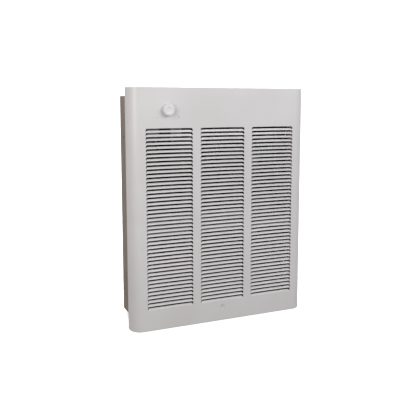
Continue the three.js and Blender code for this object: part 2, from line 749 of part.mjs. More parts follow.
function stator() {
  const inner = rotorDiameter / 2 + airGap;
  const outer = motorDiameter / 2 - motorWall - seat;
  const profile = [[inner, statorFrontY], [outer, statorFrontY], [outer, statorRearY], [inner, statorRearY],
    [inner, statorFrontY]];
  return turnY(profile, fanAxisX, fanAxisZ, motorSides);
}

// The rotor turns clear of the end cap's bearing boss.
const rotorEndGap = 1;
function rotor() {
  const core = rodY(rotorDiameter / 2, statorFrontY, bossEnd - rotorEndGap, fanAxisX, fanAxisZ, 24);
  return core.subtract(rodY(bearingBore, statorFrontY - 1, statorRearY + 1, fanAxisX, fanAxisZ, 16));
}

const shaftFrontY = motorFrontY + 3;
const fanDiscY = panelRearY + 2.5;
const hubFlangeY = fanDiscY + seat;
const hubFlangeThickness = 2;
const hubRadius = 9;
const hubFlange = 8;
const hubLength = 15;
const setScrewRadius = 1.6;
const nutFrontY = hubFlangeY + hubFlangeThickness + seat;
const nutLength = 5;
const fanNutFlats = 13;
const shaftRearY = nutFrontY + nutLength + 2;

function motorShaft() {
  return turnY([[0, shaftFrontY], [shaftRadius, shaftFrontY], [shaftRadius, shaftRearY - 0.8],
    [shaftRadius - 0.8, shaftRearY], [0, shaftRearY]], fanAxisX, fanAxisZ, 16);
}

function bearing(frontY) {
  const profile = [[bearingBore, frontY], [bearingOuter, frontY], [bearingOuter, frontY + bearingLength],
    [bearingBore, frontY + bearingLength], [bearingBore, frontY]];
  return turnY(profile, fanAxisX, fanAxisZ, 16);
}

// ---------------------------------------------------------------- fan
// A blade is a lofted sheet: chord and pitch change from root to tip and the section is cambered.
function fanBlade() {
  const along = 4;
  const across = 4;
  const rootRadius = fanDiscRadius - 4;
  const tipRadius = fanDiameter / 2;
  const front = [];
  const back = [];
  for (let i = 0; i <= along; i += 1) {
    const t = i / along;
    const radius = rootRadius + (tipRadius - rootRadius) * t;
    const chord = fanBladeChord * (0.42 + 0.58 * Math.sin((0.25 + 0.62 * t) * Math.PI * 0.72));
    const pitch = THREE.MathUtils.degToRad(fanBladePitch * (1.25 - 0.45 * t));
    for (let j = 0; j <= across; j += 1) {
      const s = j / across - 0.5;
      const sweep = (s * chord * Math.cos(pitch) + 9 * t * t) / radius;
      const camber = 4.5 * (1 - 4 * s * s);
      const y = fanDiscY - 0.4 + s * chord * Math.sin(pitch) - camber + camberLevel(t);
      const x = fanAxisX + radius * Math.cos(sweep);
      const z = fanAxisZ + radius * Math.sin(sweep);
      front.push([x, y - fanSheet, z]);
      back.push([x, y, z]);
    }
  }
  return loftedSheet(front, back, along, across);
}

// Near the root the blade's middle lies on the disc; further out it is lifted to the orifice.
function camberLevel(t) {
  return 4.5 - 2.5 * t;
}

// Two grids of points, one each side of a sheet, closed round the edge.
function loftedSheet(front, back, along, across) {
  const positions = [...front, ...back].flat();
  const columns = across + 1;
  const size = front.length;
  const faces = [];
  for (let i = 0; i < along; i += 1) {
    for (let j = 0; j < across; j += 1) {
      const a = i * columns + j;
      const b = a + 1;
      const c = a + columns;
      const d = c + 1;
      faces.push(a, c, b, b, c, d);
      faces.push(size + a, size + b, size + c, size + b, size + d, size + c);
    }
  }
  const edge = [];
  for (let j = 0; j < across; j += 1) edge.push(j);
  for (let i = 0; i < along; i += 1) edge.push(i * columns + across);
  for (let j = across; j > 0; j -= 1) edge.push(along * columns + j);
  for (let i = along; i > 0; i -= 1) edge.push(i * columns);
  for (let k = 0; k < edge.length; k += 1) {
    const p = edge[k];
    const q = edge[(k + 1) % edge.length];
    faces.push(p, q, size + p, q, size + q, size + p);
  }
  const geometry = new THREE.BufferGeometry();
  geometry.setAttribute('position', new THREE.Float32BufferAttribute(positions, 3));
  geometry.setIndex(faces);
  return solid(geometry);
}

function fan() {
  let wheel = rodY(fanDiscRadius, fanDiscY - fanSheet, fanDiscY, fanAxisX, fanAxisZ, 30);
  const blade = fanBlade();
  for (let i = 0; i < fanBladeCount; i += 1) wheel = wheel.add(turned(blade, (360 / fanBladeCount) * i));
  return wheel.subtract(rodY(hubRadius + seat, fanDiscY - fanDiscRadius, fanDiscY + fanDiscRadius, fanAxisX, fanAxisZ,
    24));
}

function fanHub() {
  const bore = bearingBore;
  const flangeRear = hubFlangeY + hubFlangeThickness;
  const front = hubFlangeY - hubLength;
  const profile = [[bore, front], [hubRadius, front], [hubRadius, hubFlangeY], [hubRadius + hubFlange, hubFlangeY],
    [hubRadius + hubFlange, flangeRear], [bore, flangeRear], [bore, front]];
  const hub = turnY(profile, fanAxisX, fanAxisZ, 16);
  return hub.subtract(rodX(setScrewRadius, fanAxisX, fanAxisX + hubRadius + 1, front + 4, fanAxisZ, 8));
}

function fanNut() {
  const nut = pushY(hexagon(fanNutFlats), nutFrontY, nutFrontY + nutLength).translate([fanAxisX, 0, fanAxisZ]);
  return nut.subtract(rodY(bearingBore, nutFrontY - 1, nutFrontY + nutLength + 1, fanAxisX, fanAxisZ, 16));
}

// ---------------------------------------------------------------- heating element
// A hairpin of steel sheath with plate fins brazed across both legs.
const sheathRadius = sheathDiameter / 2;
const elementBottomZ = elementTopZ - elementPitch;
const elementMiddleZ = (elementTopZ + elementBottomZ) / 2;
const terminalX = -elementLeft - 9;
const sheathSides = 6;
const elementOverrun = 4.8;
const bendOverlap = 0.4;
const bracketMargin = 4;
const leadNotchReach = 5;
const leadNotchDepth = 3;

function heatingElement() {
  const bendX = elementRight + bracketSheet + elementOverrun;
  const r = elementPitch / 2;
  const ring = [];
  for (let i = 0; i < sheathSides; i += 1) {
    const angle = (2 * Math.PI * i) / sheathSides;
    ring.push([sheathRadius * Math.cos(angle), sheathRadius * Math.sin(angle)]);
  }
  let hairpin = rodX(sheathRadius, terminalX, bendX, elementY, elementTopZ, sheathSides);
  hairpin = hairpin.add(rodX(sheathRadius, terminalX, bendX, elementY, elementBottomZ, sheathSides));
  const bend = new THREE.EllipseCurve(bendX - bendOverlap, elementMiddleZ, r, r, -Math.PI / 2, Math.PI / 2);
  const arc = new THREE.CatmullRomCurve3(bend.getPoints(8).map((p) => new THREE.Vector3(p.x, elementY, p.y)));
  hairpin = hairpin.add(solid(new THREE.ExtrudeGeometry(outline(ring), { steps: 8, extrudePath: arc,
    bevelEnabled: false })));
  const first = -elementLeft + finEndMargin;
  const step = (elementRight - finEndMargin - first) / (finCount - 1);
  for (let i = 0; i < finCount; i += 1) {
    const x = first + i * step;
    hairpin = hairpin.add(box(x - finSheet / 2, x + finSheet / 2, elementY - finDepth / 2, elementY + finDepth / 2,
      elementMiddleZ - finHeight / 2, elementMiddleZ + finHeight / 2));
  }
  return hairpin;
}

// A pressed bracket: a web with two holes, and flanges that reach the chassis wall.
function elementBracket(side, webX) {
  const halfDepth = finDepth / 2 + bracketMargin - 1;
  const topZ = elementMiddleZ + finHeight / 2 + bracketMargin;
  const bottomZ = elementMiddleZ - finHeight / 2 - bracketMargin;
  const wallX = side * innerHalfWidth;
  let made = box(webX, webX + side * bracketSheet, elementY - halfDepth, elementY + halfDepth, bottomZ, topZ);
  made = made.add(box(webX, wallX, elementY - halfDepth, elementY + halfDepth, topZ - bracketSheet, topZ));
  made = made.add(box(webX, wallX, elementY - halfDepth, elementY + halfDepth, bottomZ, bottomZ + bracketSheet));
  for (const z of [elementTopZ, elementBottomZ]) {
    made = made.subtract(rodX(sheathRadius + seat, webX - 3, webX + 3, elementY, z, 16));
  }
  return made;
}

// The left bracket's top flange is notched where the leads come down.
function leadBracket() {
  const topZ = elementMiddleZ + finHeight / 2 + bracketMargin;
  return elementBracket(-1, -elementLeft).subtract(box(-elementLeft - leadNotchReach, -innerHalfWidth - 2,
    elementY - 14, elementY + 10, topZ - leadNotchDepth, topZ + 1));
}

const terminalReach = 7;
const terminalStud = 4;
const terminalPin = 1.8;

function elementTerminal(z) {
  const endX = terminalX - seat;
  const bush = rodX(sheathRadius + 1, endX - terminalReach, endX, elementY, z, 12);
  return bush.add(rodX(terminalPin, endX - terminalReach - terminalStud, endX - terminalReach + 1, elementY, z, 8));
}

// ---------------------------------------------------------------- thermostat
const spindleRadius = spindleDiameter / 2;
const spindleClearance = spindleRadius + seat;
const bushingRadius = bushingDiameter / 2;
const bushingLength = 9;
const bushingNutFlats = 14;
const bushingNutLength = 3;
const spindleDepth = 10;
const caseChamfer = 3;
const tabPitch = 10;
const tabWidth = 6.4;
const tabSheet = 0.8;
const tabRise = 6;
const tabLength = 7;
const bodyFrontY = controlRearY + seat;
const bodyRearY = bodyFrontY + thermostatDepth;
const knobBackY = faceY - knobGap;
const knobDish = 0.6;
const knobRound = 2.2;
const knobDraft = 0.5;
const knobFrontY = knobBackY - knobLength;
const spindleFrontY = knobFrontY + 2.4;

function thermostatBody() {
  const w = thermostatWidth / 2;
  const h = thermostatHeight / 2;
  const c = caseChamfer;
  const shape = outline([[knobX - w, knobZ - h + c], [knobX - w + c, knobZ - h], [knobX + w - c, knobZ - h],
    [knobX + w, knobZ - h + c], [knobX + w, knobZ + h - c], [knobX + w - c, knobZ + h],
    [knobX - w + c, knobZ + h], [knobX - w, knobZ + h - c]]);
  let body = pushY(shape, bodyFrontY, bodyRearY);
  body = body.add(rodY(bushingRadius, bodyFrontY - bushingLength, bodyFrontY + 1, knobX, knobZ, 20));
  body = body.subtract(rodY(spindleClearance, bodyFrontY - bushingLength - 1, bodyFrontY + spindleDepth, knobX,
    knobZ, 20));
  for (const x of [knobX - tabPitch, knobX, knobX + tabPitch]) {
    body = body.add(box(x - tabWidth / 2, x + tabWidth / 2, bodyRearY - 1, bodyRearY + tabLength,
      knobZ + tabRise - tabSheet / 2, knobZ + tabRise + tabSheet / 2));
  }
  return body;
}

function thermostatSpindle() {
  const rear = bodyFrontY + spindleDepth - seat;
  const rod = turnY([[0, spindleFrontY], [spindleRadius - 0.5, spindleFrontY], [spindleRadius, spindleFrontY + 0.5],
    [spindleRadius, rear], [0, rear]], knobX, knobZ, 20);
  const flat = box(knobX - spindleDiameter, knobX + spindleDiameter, spindleFrontY - 1, spindleFrontY + spindleDepth,
    knobZ + spindleRadius - spindleFlat, knobZ + spindleDiameter);
  return rod.subtract(flat);
}

function thermostatKnob() {
  const r = knobDiameter / 2;
  const profile = [[0, knobFrontY + knobDish], [knobInset - knobDish, knobFrontY + knobDish],
    [knobInset, knobFrontY], [r - knobRound, knobFrontY], [r - 2 * knobDraft, knobFrontY + knobDish],
    [r - knobDraft, knobFrontY + knobRound], [r, knobBackY], [0, knobBackY]];
  const bore = rodY(spindleClearance, spindleFrontY - seat, knobBackY + 1, knobX, knobZ, 14);
  const key = box(knobX - spindleDiameter, knobX + spindleDiameter, spindleFrontY - 2, knobBackY + 2,
    knobZ + spindleRadius - spindleFlat + seat, knobZ + spindleDiameter);
  return turnY(profile, knobX, knobZ, 24).subtract(bore.subtract(key));
}

function thermostatNut() {
  const rear = controlFrontY - seat;
  const nut = pushY(hexagon(bushingNutFlats), rear - bushingNutLength, rear).translate([knobX, 0, knobZ]);
  return nut.subtract(rodY(bushingRadius + seat, rear - bushingNutLength - 1, rear + 1, knobX, knobZ, 20));
}

// The control bracket is a shallow channel; two ears below it hold the sensing bulb.
const controlLeftX = knobX - controlWidth / 2;
const controlRightX = knobX + controlWidth / 2;
const controlFoot = 10;
const bulbDrop = 9;
const bulbStandoff = 4.8;
const earMargin = 3;
const bulbZ = controlBottomZ - bulbDrop;
const bulbY = controlRearY + bulbStandoff;
const earLeft = 20;
const earRight = 16;
const earXs = [knobX - earLeft, knobX + earRight];

function controlBracket() {
  const footY = panelFrontY - seat;
  const shape = outline([[controlLeftX - controlFoot, footY], [controlLeftX, footY], [controlLeftX, controlRearY],
    [controlRightX, controlRearY], [controlRightX, footY], [controlRightX + controlFoot, footY],
    [controlRightX + controlFoot, footY - controlSheet], [controlRightX + controlSheet, footY - controlSheet],
    [controlRightX + controlSheet, controlFrontY], [controlLeftX - controlSheet, controlFrontY],
    [controlLeftX - controlSheet, footY - controlSheet], [controlLeftX - controlFoot, footY - controlSheet]]);
  let made = pushZ(shape, controlBottomZ, controlTopZ);
  made = made.subtract(rodY(bushingRadius + seat, controlFrontY - 1, controlRearY + 1, knobX, knobZ, 20));
  made = made.subtract(box(knobX - switchWidth / 2 - seat, knobX + switchWidth / 2 + seat, controlFrontY - 1,
    controlRearY + 1, switchZ - switchHeight / 2 - seat, switchZ + switchHeight / 2 + seat));
  for (const x of earXs) {
    made = made.add(box(x, x + controlSheet, controlFrontY, bulbY + bulbDiameter / 2 + earMargin,
      bulbZ - bulbDiameter / 2 - earMargin, controlBottomZ + earMargin));
    made = made.subtract(rodX(bulbDiameter / 2 + seat, x - 1, x + controlSheet + 1, bulbY, bulbZ, 14));
  }
  return made;
}

function thermostatBulb() {
  const middleX = (earXs[0] + earXs[1] + controlSheet) / 2;
  const rightX = middleX + bulbLength / 2;
  const bulb = rodX(bulbDiameter / 2, middleX - bulbLength / 2, rightX, bulbY, bulbZ, 12);
  const startX = knobX + thermostatWidth / 2 + seat;
  const capillary = wire([[rightX - 2, bulbY, bulbZ], [rightX + 6, bulbY + 4, bulbZ + 4],
    [controlRightX - 6, bodyRearY - 4, switchZ], [controlRightX - 8, bodyRearY - 8, knobZ - 12],
    [startX + 3, bodyRearY - 8, knobZ - 3], [startX, bodyRearY - 8, knobZ - 3]], 0.9, 16);
  return bulb.add(capillary);
}

// ---------------------------------------------------------------- disconnect switch
const rockerPivotY = controlFrontY + 1;
const rockerHalfWidth = 7;
const rockerHalfHeight = 9.5;
const pocketDepth = 7;
const rockerSwing = 1.4;
const rockerPin = 1.2;
const rockerCrown = 4.6;
const rockerWaist = 2.6;
const rockerSkirt = 1.2;
const rockerHeel = 3.4;
const pinWall = 0.6;
const bezel = 2.5;
const bezelDepth = 1.8;
const switchTabLength = 8;

function switchBody() {
  const frontY = controlFrontY - seat;
  const rearY = controlRearY + switchDepth;
  const w = switchWidth / 2;
  const h = switchHeight / 2;
  let made = box(knobX - w - bezel, knobX + w + bezel, frontY - bezelDepth, frontY, switchZ - h - bezel,
    switchZ + h + bezel);
  made = made.add(box(knobX - w, knobX + w, frontY - 0.5, rearY, switchZ - h, switchZ + h));
  made = made.subtract(box(knobX - rockerHalfWidth - seat, knobX + rockerHalfWidth + seat, frontY - 3,
    rockerPivotY + pocketDepth, switchZ - rockerHalfHeight - rockerSwing,
    switchZ + rockerHalfHeight + rockerSwing));
  made = made.subtract(rodX(rockerPin + seat, knobX - w + pinWall, knobX + w - pinWall, rockerPivotY, switchZ,
    10));
  for (const x of [knobX - tabPitch / 2, knobX + tabPitch / 2]) {
    made = made.add(box(x - tabSheet / 2, x + tabSheet / 2, rearY - 1, rearY + switchTabLength,
      switchZ - tabWidth / 2, switchZ + tabWidth / 2));
  }
  return made;
}

// The rocker's top is a shallow V. It is drawn tipped to its ON stop.
function switchRocker() {
  const h = rockerHalfHeight;
  const tip = THREE.MathUtils.degToRad(rockerTilt);
  const profile = [[-rockerCrown, -h], [-rockerWaist, 0], [-rockerCrown, h], [rockerSkirt, h],
    [rockerCrown, rockerHeel], [rockerCrown, -rockerHeel], [rockerSkirt, -h]];
  const tipped = profile.map(([y, z]) => [rockerPivotY + y * Math.cos(tip) - z * Math.sin(tip),
    switchZ + y * Math.sin(tip) + z * Math.cos(tip)]);
  const paddle = pushX(outline(tipped), knobX - rockerHalfWidth, knobX + rockerHalfWidth);
  const pin = switchWidth / 2 - pinWall - seat;
  return paddle.add(rodX(rockerPin, knobX - pin, knobX + pin, rockerPivotY, switchZ, 10));
}

// ---------------------------------------------------------------- cut-out and fan delay switch
// Both are snap-disc switches that sit in a hole of the divider's tab.
const snapLength = 10;
const snapEdge = 1;
const snapFlange = 3;
const snapFlangeSheet = 1.2;
const snapCapDepth = 7;
const snapTabLength = 6;

function snapSwitch(x) {
  const flangeY = tabRearY + seat;
  const frontY = flangeY - snapLength;
  const capY = flangeY + snapCapDepth;
  const profile = [[0, frontY], [cutoutRadius - snapEdge, frontY], [cutoutRadius, frontY + snapEdge],
    [cutoutRadius, flangeY], [cutoutRadius + snapFlange, flangeY],
    [cutoutRadius + snapFlange, flangeY + snapFlangeSheet], [cutoutRadius + snapEdge, flangeY + snapFlangeSheet],
    [cutoutRadius + snapEdge, capY - snapEdge], [cutoutRadius - snapEdge, capY], [0, capY]];
  let made = turnY(profile, x, cutoutZ, 12);
  for (const tabX of [x - cutoutRadius + 2, x + cutoutRadius - 2]) {
    made = made.add(box(tabX - tabSheet / 2, tabX + tabSheet / 2, frontY - snapTabLength, frontY + 2,
      cutoutZ - tabWidth / 2, cutoutZ + tabWidth / 2));
  }
  return made;
}

const buttonRadius = buttonDiameter / 2;
const buttonSeat = 5;
const buttonProud = 2.4;
const buttonEdge = 0.6;
const snapFrontY = tabRearY + seat - snapLength;

function limitSwitch() {
  const bore = rodY(buttonRadius + seat, snapFrontY - 1, snapFrontY + buttonSeat, cutoutX, cutoutZ, 14);
  return snapSwitch(cutoutX).subtract(bore);
}

function resetButton() {
  const rear = snapFrontY + buttonSeat - buttonTravel - seat;
  const front = snapFrontY - buttonProud;
  return turnY([[0, front], [buttonRadius - buttonEdge, front], [buttonRadius, front + buttonEdge],
    [buttonRadius, rear], [0, rear]], cutoutX, cutoutZ, 14);
}

// ---------------------------------------------------------------- terminal block, ground screw, leads
const blockMargin = 54;
const blockDrop = 60;
const blockX = -chassisHalfWidth + blockMargin;
const blockZ = fanAxisZ - blockDrop;
const blockWidth = 62;
const blockHeight = 24;
const blockPoles = 3;
const blockBaseY = panelFrontY - seat;
const blockDepth = 16;
const blockBarrier = 3;
const blockFloorY = blockBaseY - 9.6;
const blockScrewRadius = 3;
const blockScrewHead = 2.4;
const blockScrewRise = 6;
const poleStep = (blockWidth - blockBarrier) / blockPoles;
const groundHexFlats = 9;
const groundHexLength = 4;

function terminalBlock() {
  const w = blockWidth / 2;
  const h = blockHeight / 2;
  let made = box(blockX - w, blockX + w, blockFloorY, blockBaseY, blockZ - h, blockZ + h);
  for (let i = 0; i <= blockPoles; i += 1) {
    const x = blockX + (i - blockPoles / 2) * poleStep;
    made = made.add(box(x - blockBarrier / 2, x + blockBarrier / 2, blockBaseY - blockDepth, blockBaseY - 1,
      blockZ - h, blockZ + h));
  }
  for (let i = 0; i < blockPoles; i += 1) {
    const x = blockX + (i - (blockPoles - 1) / 2) * poleStep;
    for (const z of [blockZ - blockScrewRise, blockZ + blockScrewRise]) {
      made = made.add(rodY(blockScrewRadius, blockFloorY - blockScrewHead, blockFloorY + 1, x, z, 8));
    }
  }
  return made;
}

function groundScrew() {
  const seatY = panelFrontY - seat;
  const head = pushY(hexagon(groundHexFlats), seatY - groundHexLength, seatY).translate([groundX, 0, groundZ]);
  return head.add(rodY(sheetScrewRadius, seatY - 1, seatY + sheetScrewLength, groundX, groundZ, 8));
}

const leadRadius = 1.5;
const leadBend = 6;
const leadLoop = 10;
const leadFall = 24;
const leadSplay = 2;
const poleFrontY = blockFloorY - blockScrewHead - seat - leadRadius;
const switchTailY = controlRearY + switchTabLength + switchDepth + seat + leadRadius;
const thermostatTailY = bodyRearY + tabLength + seat + leadRadius;
const terminalTailX = terminalX - terminalReach - terminalStud + 1;
const terminalTopGap = terminalPin + seat + leadRadius;
const motorEntryX = fanAxisX - motorDiameter / 2 - seat;
const motorEntryY = (motorFrontY + motorRearY) / 2;
const leadHalfX = tabPitch / 2;

const leads = {
  line_lead: [[blockX - poleStep, poleFrontY, blockZ + blockScrewRise],
    [blockX - poleStep - leadSplay, poleFrontY - leadBend, blockZ + leadFall],
    [knobX - leadLoop - leadSplay, grommetY - leadSplay, (blockZ + switchZ) / 2],
    [knobX - leadHalfX - leadSplay, switchTailY + leadSplay, switchZ - leadFall + leadBend],
    [knobX - leadHalfX, switchTailY, switchZ]],
  switch_lead: [[knobX + leadHalfX, switchTailY, switchZ],
    [knobX + leadHalfX + leadSplay, switchTailY + leadBend, switchZ + leadLoop],
    [knobX + tabPitch + leadSplay, thermostatTailY + leadSplay, knobZ - leadLoop],
    [knobX + tabPitch, thermostatTailY, knobZ + tabRise]],
  thermostat_lead: [[knobX - tabPitch, thermostatTailY, knobZ + tabRise],
    [knobX - tabPitch - leadBend, thermostatTailY + leadBend, knobZ - leadLoop],
    [knobX - leadFall, grommetY, (knobZ + groundZ) / 2 - leadLoop],
    [grommetX, grommetY + leadSplay, blockZ + leadFall],
    [grommetX - leadSplay, grommetY, dividerHeight + leadLoop],
    [grommetX - leadSplay, grommetY, dividerHeight - leadLoop],
    [terminalTailX, elementY, elementTopZ + terminalTopGap]],
  element_lead: [[blockX - poleStep, poleFrontY, blockZ - blockScrewRise],
    [blockX - poleStep - leadBend, poleFrontY - leadBend, blockZ - leadFall],
    [grommetX + leadSplay, grommetY, dividerHeight + leadLoop],
    [grommetX + leadSplay, grommetY, dividerHeight - leadLoop],
    [grommetX + leadLoop - leadSplay, elementY - leadLoop - leadSplay, elementTopZ - leadBend],
    [grommetX, elementY - leadLoop - leadSplay, elementBottomZ + leadLoop + leadSplay],
    [terminalTailX, elementY, elementBottomZ + terminalTopGap]],
  motor_lead: [[blockX + poleStep, poleFrontY, blockZ + blockScrewRise],
    [blockX + poleStep + leadBend, poleFrontY - leadBend, blockZ + leadFall],
    [motorEntryX - 4 * leadLoop, motorEntryY + 2 * leadSplay, fanAxisZ - leadFall],
    [motorEntryX - leadLoop, motorEntryY, fanAxisZ], [motorEntryX, motorEntryY, fanAxisZ]],
};

// ---------------------------------------------------------------- assembly
place('wall_box', wallBox(), boxPaint);
place('front_cover', frontCover(), coverEnamel);
place('cover_screw_bracket', coverScrewBracket(), galvanised);
place('cover_screw', coverScrew(), coverEnamel);
place('chassis', chassis(), blackPaint);
bossPlaces.forEach(([x, z], i) => {
  const footFrontY = bossFaceY - seat - chassisSheet;
  place(`chassis_screw_${i + 1}`,
    panScrew(x, footFrontY - seat, z, chassisScrewRadius, chassisSheet + 2 * seat + chassisScrewBite),
    brightSteel);
});
place('air_divider', airDivider(), galvanised);
dividerScrewXs.forEach((x, i) => {
  const seatY = panelFrontY - 2 * seat - chassisSheet;
  place(`divider_screw_${i + 1}`, panScrew(x, seatY, dividerScrewZ, sheetScrewRadius, sheetScrewLength),
    brightSteel);
});
place('grommet', grommet(), blackNylon);
place('air_deflector', airDeflector(), blackPaint);
place('motor_strap', motorStrap(), blackPaint);
strapScrewZs.forEach((z, i) => {
  const seatY = panelFrontY - 2 * seat - strapSheet;
  place(`strap_screw_${i + 1}`,
    panScrew(fanAxisX, seatY, z, sheetScrewRadius, sheetScrewLength, strapScrewHead), brightSteel);
});
place('motor_housing', motorHousing(), blackPaint);
place('motor_end_cap', motorEndCap(), blackPaint);
place('stator', stator(), siliconSteel);
place('rotor', rotor(), siliconSteel);
place('motor_shaft', motorShaft(), brightSteel);
place('bearing_front', bearing(motorFrontY + motorWall + seat), bronze);
place('bearing_rear', bearing(motorRearY - bearingLength - 1), bronze);
place('fan', fan(), rolledAluminium);
place('fan_hub', fanHub(), brightSteel);
place('fan_nut', fanNut(), brightSteel);
place('heating_element', heatingElement(), brazedSteel);
place('element_bracket_left', leadBracket(), galvanised);
place('element_bracket_right', elementBracket(1, elementRight), galvanised);
place('element_terminal_upper', elementTerminal(elementTopZ), ceramic);
place('element_terminal_lower', elementTerminal(elementBottomZ), ceramic);
place('thermostat_body', thermostatBody(), phenolic);
place('thermostat_spindle', thermostatSpindle(), brightSteel);
place('thermostat_knob', thermostatKnob(), knobPlastic);
place('thermostat_nut', thermostatNut(), brightSteel);
place('thermostat_bulb', thermostatBulb(), copper);
place('control_bracket', controlBracket(), galvanised);
place('switch_body', switchBody(), blackNylon);
place('switch_rocker', switchRocker(), blackNylon);
place('limit_switch', limitSwitch(), phenolic);
place('reset_button', resetButton(), redPlastic);
place('fan_delay_switch', snapSwitch(delayX), phenolic);
place('terminal_block', terminalBlock(), phenolic);
place('ground_screw', groundScrew(), greenSteel);
for (const [name, route] of Object.entries(leads)) {
  place(name, wire(route, leadRadius, 9), wireBlack);
}

export default heater;
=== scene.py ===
import json
import math
import bmesh
import bpy
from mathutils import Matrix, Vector


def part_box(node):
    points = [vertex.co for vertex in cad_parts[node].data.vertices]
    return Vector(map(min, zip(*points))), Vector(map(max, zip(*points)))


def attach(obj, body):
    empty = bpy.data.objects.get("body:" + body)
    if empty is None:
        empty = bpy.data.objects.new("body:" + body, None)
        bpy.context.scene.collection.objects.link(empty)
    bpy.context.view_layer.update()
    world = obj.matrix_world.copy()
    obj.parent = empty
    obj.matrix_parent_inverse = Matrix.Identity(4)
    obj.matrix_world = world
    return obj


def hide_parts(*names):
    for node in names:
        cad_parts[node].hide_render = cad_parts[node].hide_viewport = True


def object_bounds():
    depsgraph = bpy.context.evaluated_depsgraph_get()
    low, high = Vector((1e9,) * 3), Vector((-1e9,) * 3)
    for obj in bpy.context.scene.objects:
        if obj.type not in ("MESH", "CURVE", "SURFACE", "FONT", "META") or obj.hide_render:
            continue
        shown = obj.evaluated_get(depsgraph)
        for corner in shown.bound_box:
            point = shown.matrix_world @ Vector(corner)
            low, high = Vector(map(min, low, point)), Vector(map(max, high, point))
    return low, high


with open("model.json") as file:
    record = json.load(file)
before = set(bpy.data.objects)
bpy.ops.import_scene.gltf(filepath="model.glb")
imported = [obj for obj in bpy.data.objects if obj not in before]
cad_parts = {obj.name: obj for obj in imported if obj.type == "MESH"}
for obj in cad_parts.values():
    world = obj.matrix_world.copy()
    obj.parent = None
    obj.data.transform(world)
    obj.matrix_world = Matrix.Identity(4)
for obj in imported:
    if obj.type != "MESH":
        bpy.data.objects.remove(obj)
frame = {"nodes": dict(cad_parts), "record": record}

# Recessed fan heater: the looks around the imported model. Everything is in metres, and mm = 0.001.
mm = 0.001
cadBounds = [list(corner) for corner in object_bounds()]
nodes = frame["nodes"]
scene = bpy.context.scene
print("frame loaded:", len(nodes), "nodes")


def linear(hexColour):  # sRGB hex to Blender's linear colour
    channels = [int(hexColour[i:i + 2], 16) / 255 for i in (1, 3, 5)]
    return tuple(c / 12.92 if c <= 0.04045 else ((c + 0.055) / 1.055) ** 2.4 for c in channels) + (1.0,)


def addNode(tree, kind, inputs=None, **settings):  # a node with its settings, values and links
    node = tree.nodes.new(kind)
    for name, value in settings.items():
        setattr(node, name, value)
    for key, value in (inputs or {}).items():
        value = value.outputs[0] if isinstance(value, bpy.types.Node) else value  # a node gives its first output
        if isinstance(value, bpy.types.NodeSocket):
            tree.links.new(value, node.inputs[key])
        else:
            node.inputs[key].default_value = value
    return node


def outward(bm):
    bmesh.ops.recalc_face_normals(bm, faces=bm.faces)


def newObject(name, bm):
    mesh = bpy.data.meshes.new(name)
    bm.to_mesh(mesh)
    bm.free()
    obj = bpy.data.objects.new(name, mesh)
    scene.collection.objects.link(obj)
    return obj


def settle(obj):  # the evaluated object becomes a plain mesh, with no modifier left
    graph = bpy.context.evaluated_depsgraph_get()
    mesh = bpy.data.meshes.new_from_object(obj.evaluated_get(graph))
    old = obj.data
    obj.modifiers.clear()
    obj.data = mesh
    bpy.data.meshes.remove(old)
    mesh.name = obj.name
    return obj


def shade(obj, sharpAngle=35):  # smooth over bends, crisp at sheared edges, flat faces kept flat
    bm = bmesh.new()
    bm.from_mesh(obj.data)
    limit = math.radians(sharpAngle)
    for face in bm.faces:
        face.smooth = True
    for edge in bm.edges:
        edge.smooth = len(edge.link_faces) == 2 and edge.calc_face_angle(math.pi) < limit
    bm.to_mesh(obj.data)
    bm.free()
    weighted = obj.modifiers.new("weighted", "WEIGHTED_NORMAL")
    weighted.keep_sharp = True
    return settle(obj)


def thicken(obj, thickness):  # sheet metal: the drawn surface is the outer one
    sheet = obj.modifiers.new("sheet", "SOLIDIFY")
    sheet.thickness = thickness
    sheet.offset = -1
    sheet.use_even_offset = True
    sheet.thickness_clamp = 0
    return settle(obj)


def dress(obj, material):
    obj.data.materials.clear()
    obj.data.materials.append(material)
    return obj


def fit(obj, slot, body, *replaced):  # the piece's finish, the body it moves with, and the nodes it stands for
    dress(obj, finishes[slot])
    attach(obj, body)
    if replaced:
        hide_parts(*replaced)
    return obj


def centreOf(name):  # a turned piece's axis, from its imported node
    low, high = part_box(name)
    return (low.x + high.x) / 2, (low.z + high.z) / 2


def arc(u, v, radius, start, end, steps):  # points on a circle, from and to an angle in degrees
    angles = [math.radians(start + (end - start) * i / steps) for i in range(steps + 1)]
    return [(u + radius * math.cos(angle), v + radius * math.sin(angle)) for angle in angles]


def circlePoints(count, radius):
    return arc(0, 0, radius, 0, 360, count)[:-1]


def loopEdges(bm, verts):
    made = []
    for a, b in zip(verts, verts[1:] + verts[:1]):
        made.append(bm.edges.get((a, b)) or bm.edges.new((a, b)))
    return made


def bridge(bm, ringA, ringB):  # quads between two rings of the same count
    count = len(ringA)
    for i in range(count):
        j = (i + 1) % count
        bm.faces.new((ringA[i], ringA[j], ringB[j], ringB[i]))


def pressing(bm, place, centre, profile, count, closed):
    # A round pressing in a sheet: rings of radius and depth in mm, of which the first lies in the sheet.
    rings = []
    for radius, depth in profile:
        ring = circlePoints(count, radius * mm)
        rings.append([bm.verts.new(place(centre[0] + u, centre[1] + v, depth * mm)) for u, v in ring])
    for ringA, ringB in zip(rings, rings[1:]):
        bridge(bm, ringA, ringB)
    if closed:
        bm.faces.new(rings[-1])
    return rings[0]


def fillPanel(bm, loops):  # a flat sheet between an outer loop and the holes' loops
    edges = [edge for loop in loops for edge in loopEdges(bm, loop)]
    bmesh.ops.triangle_fill(bm, use_beauty=True, use_dissolve=False, edges=edges)


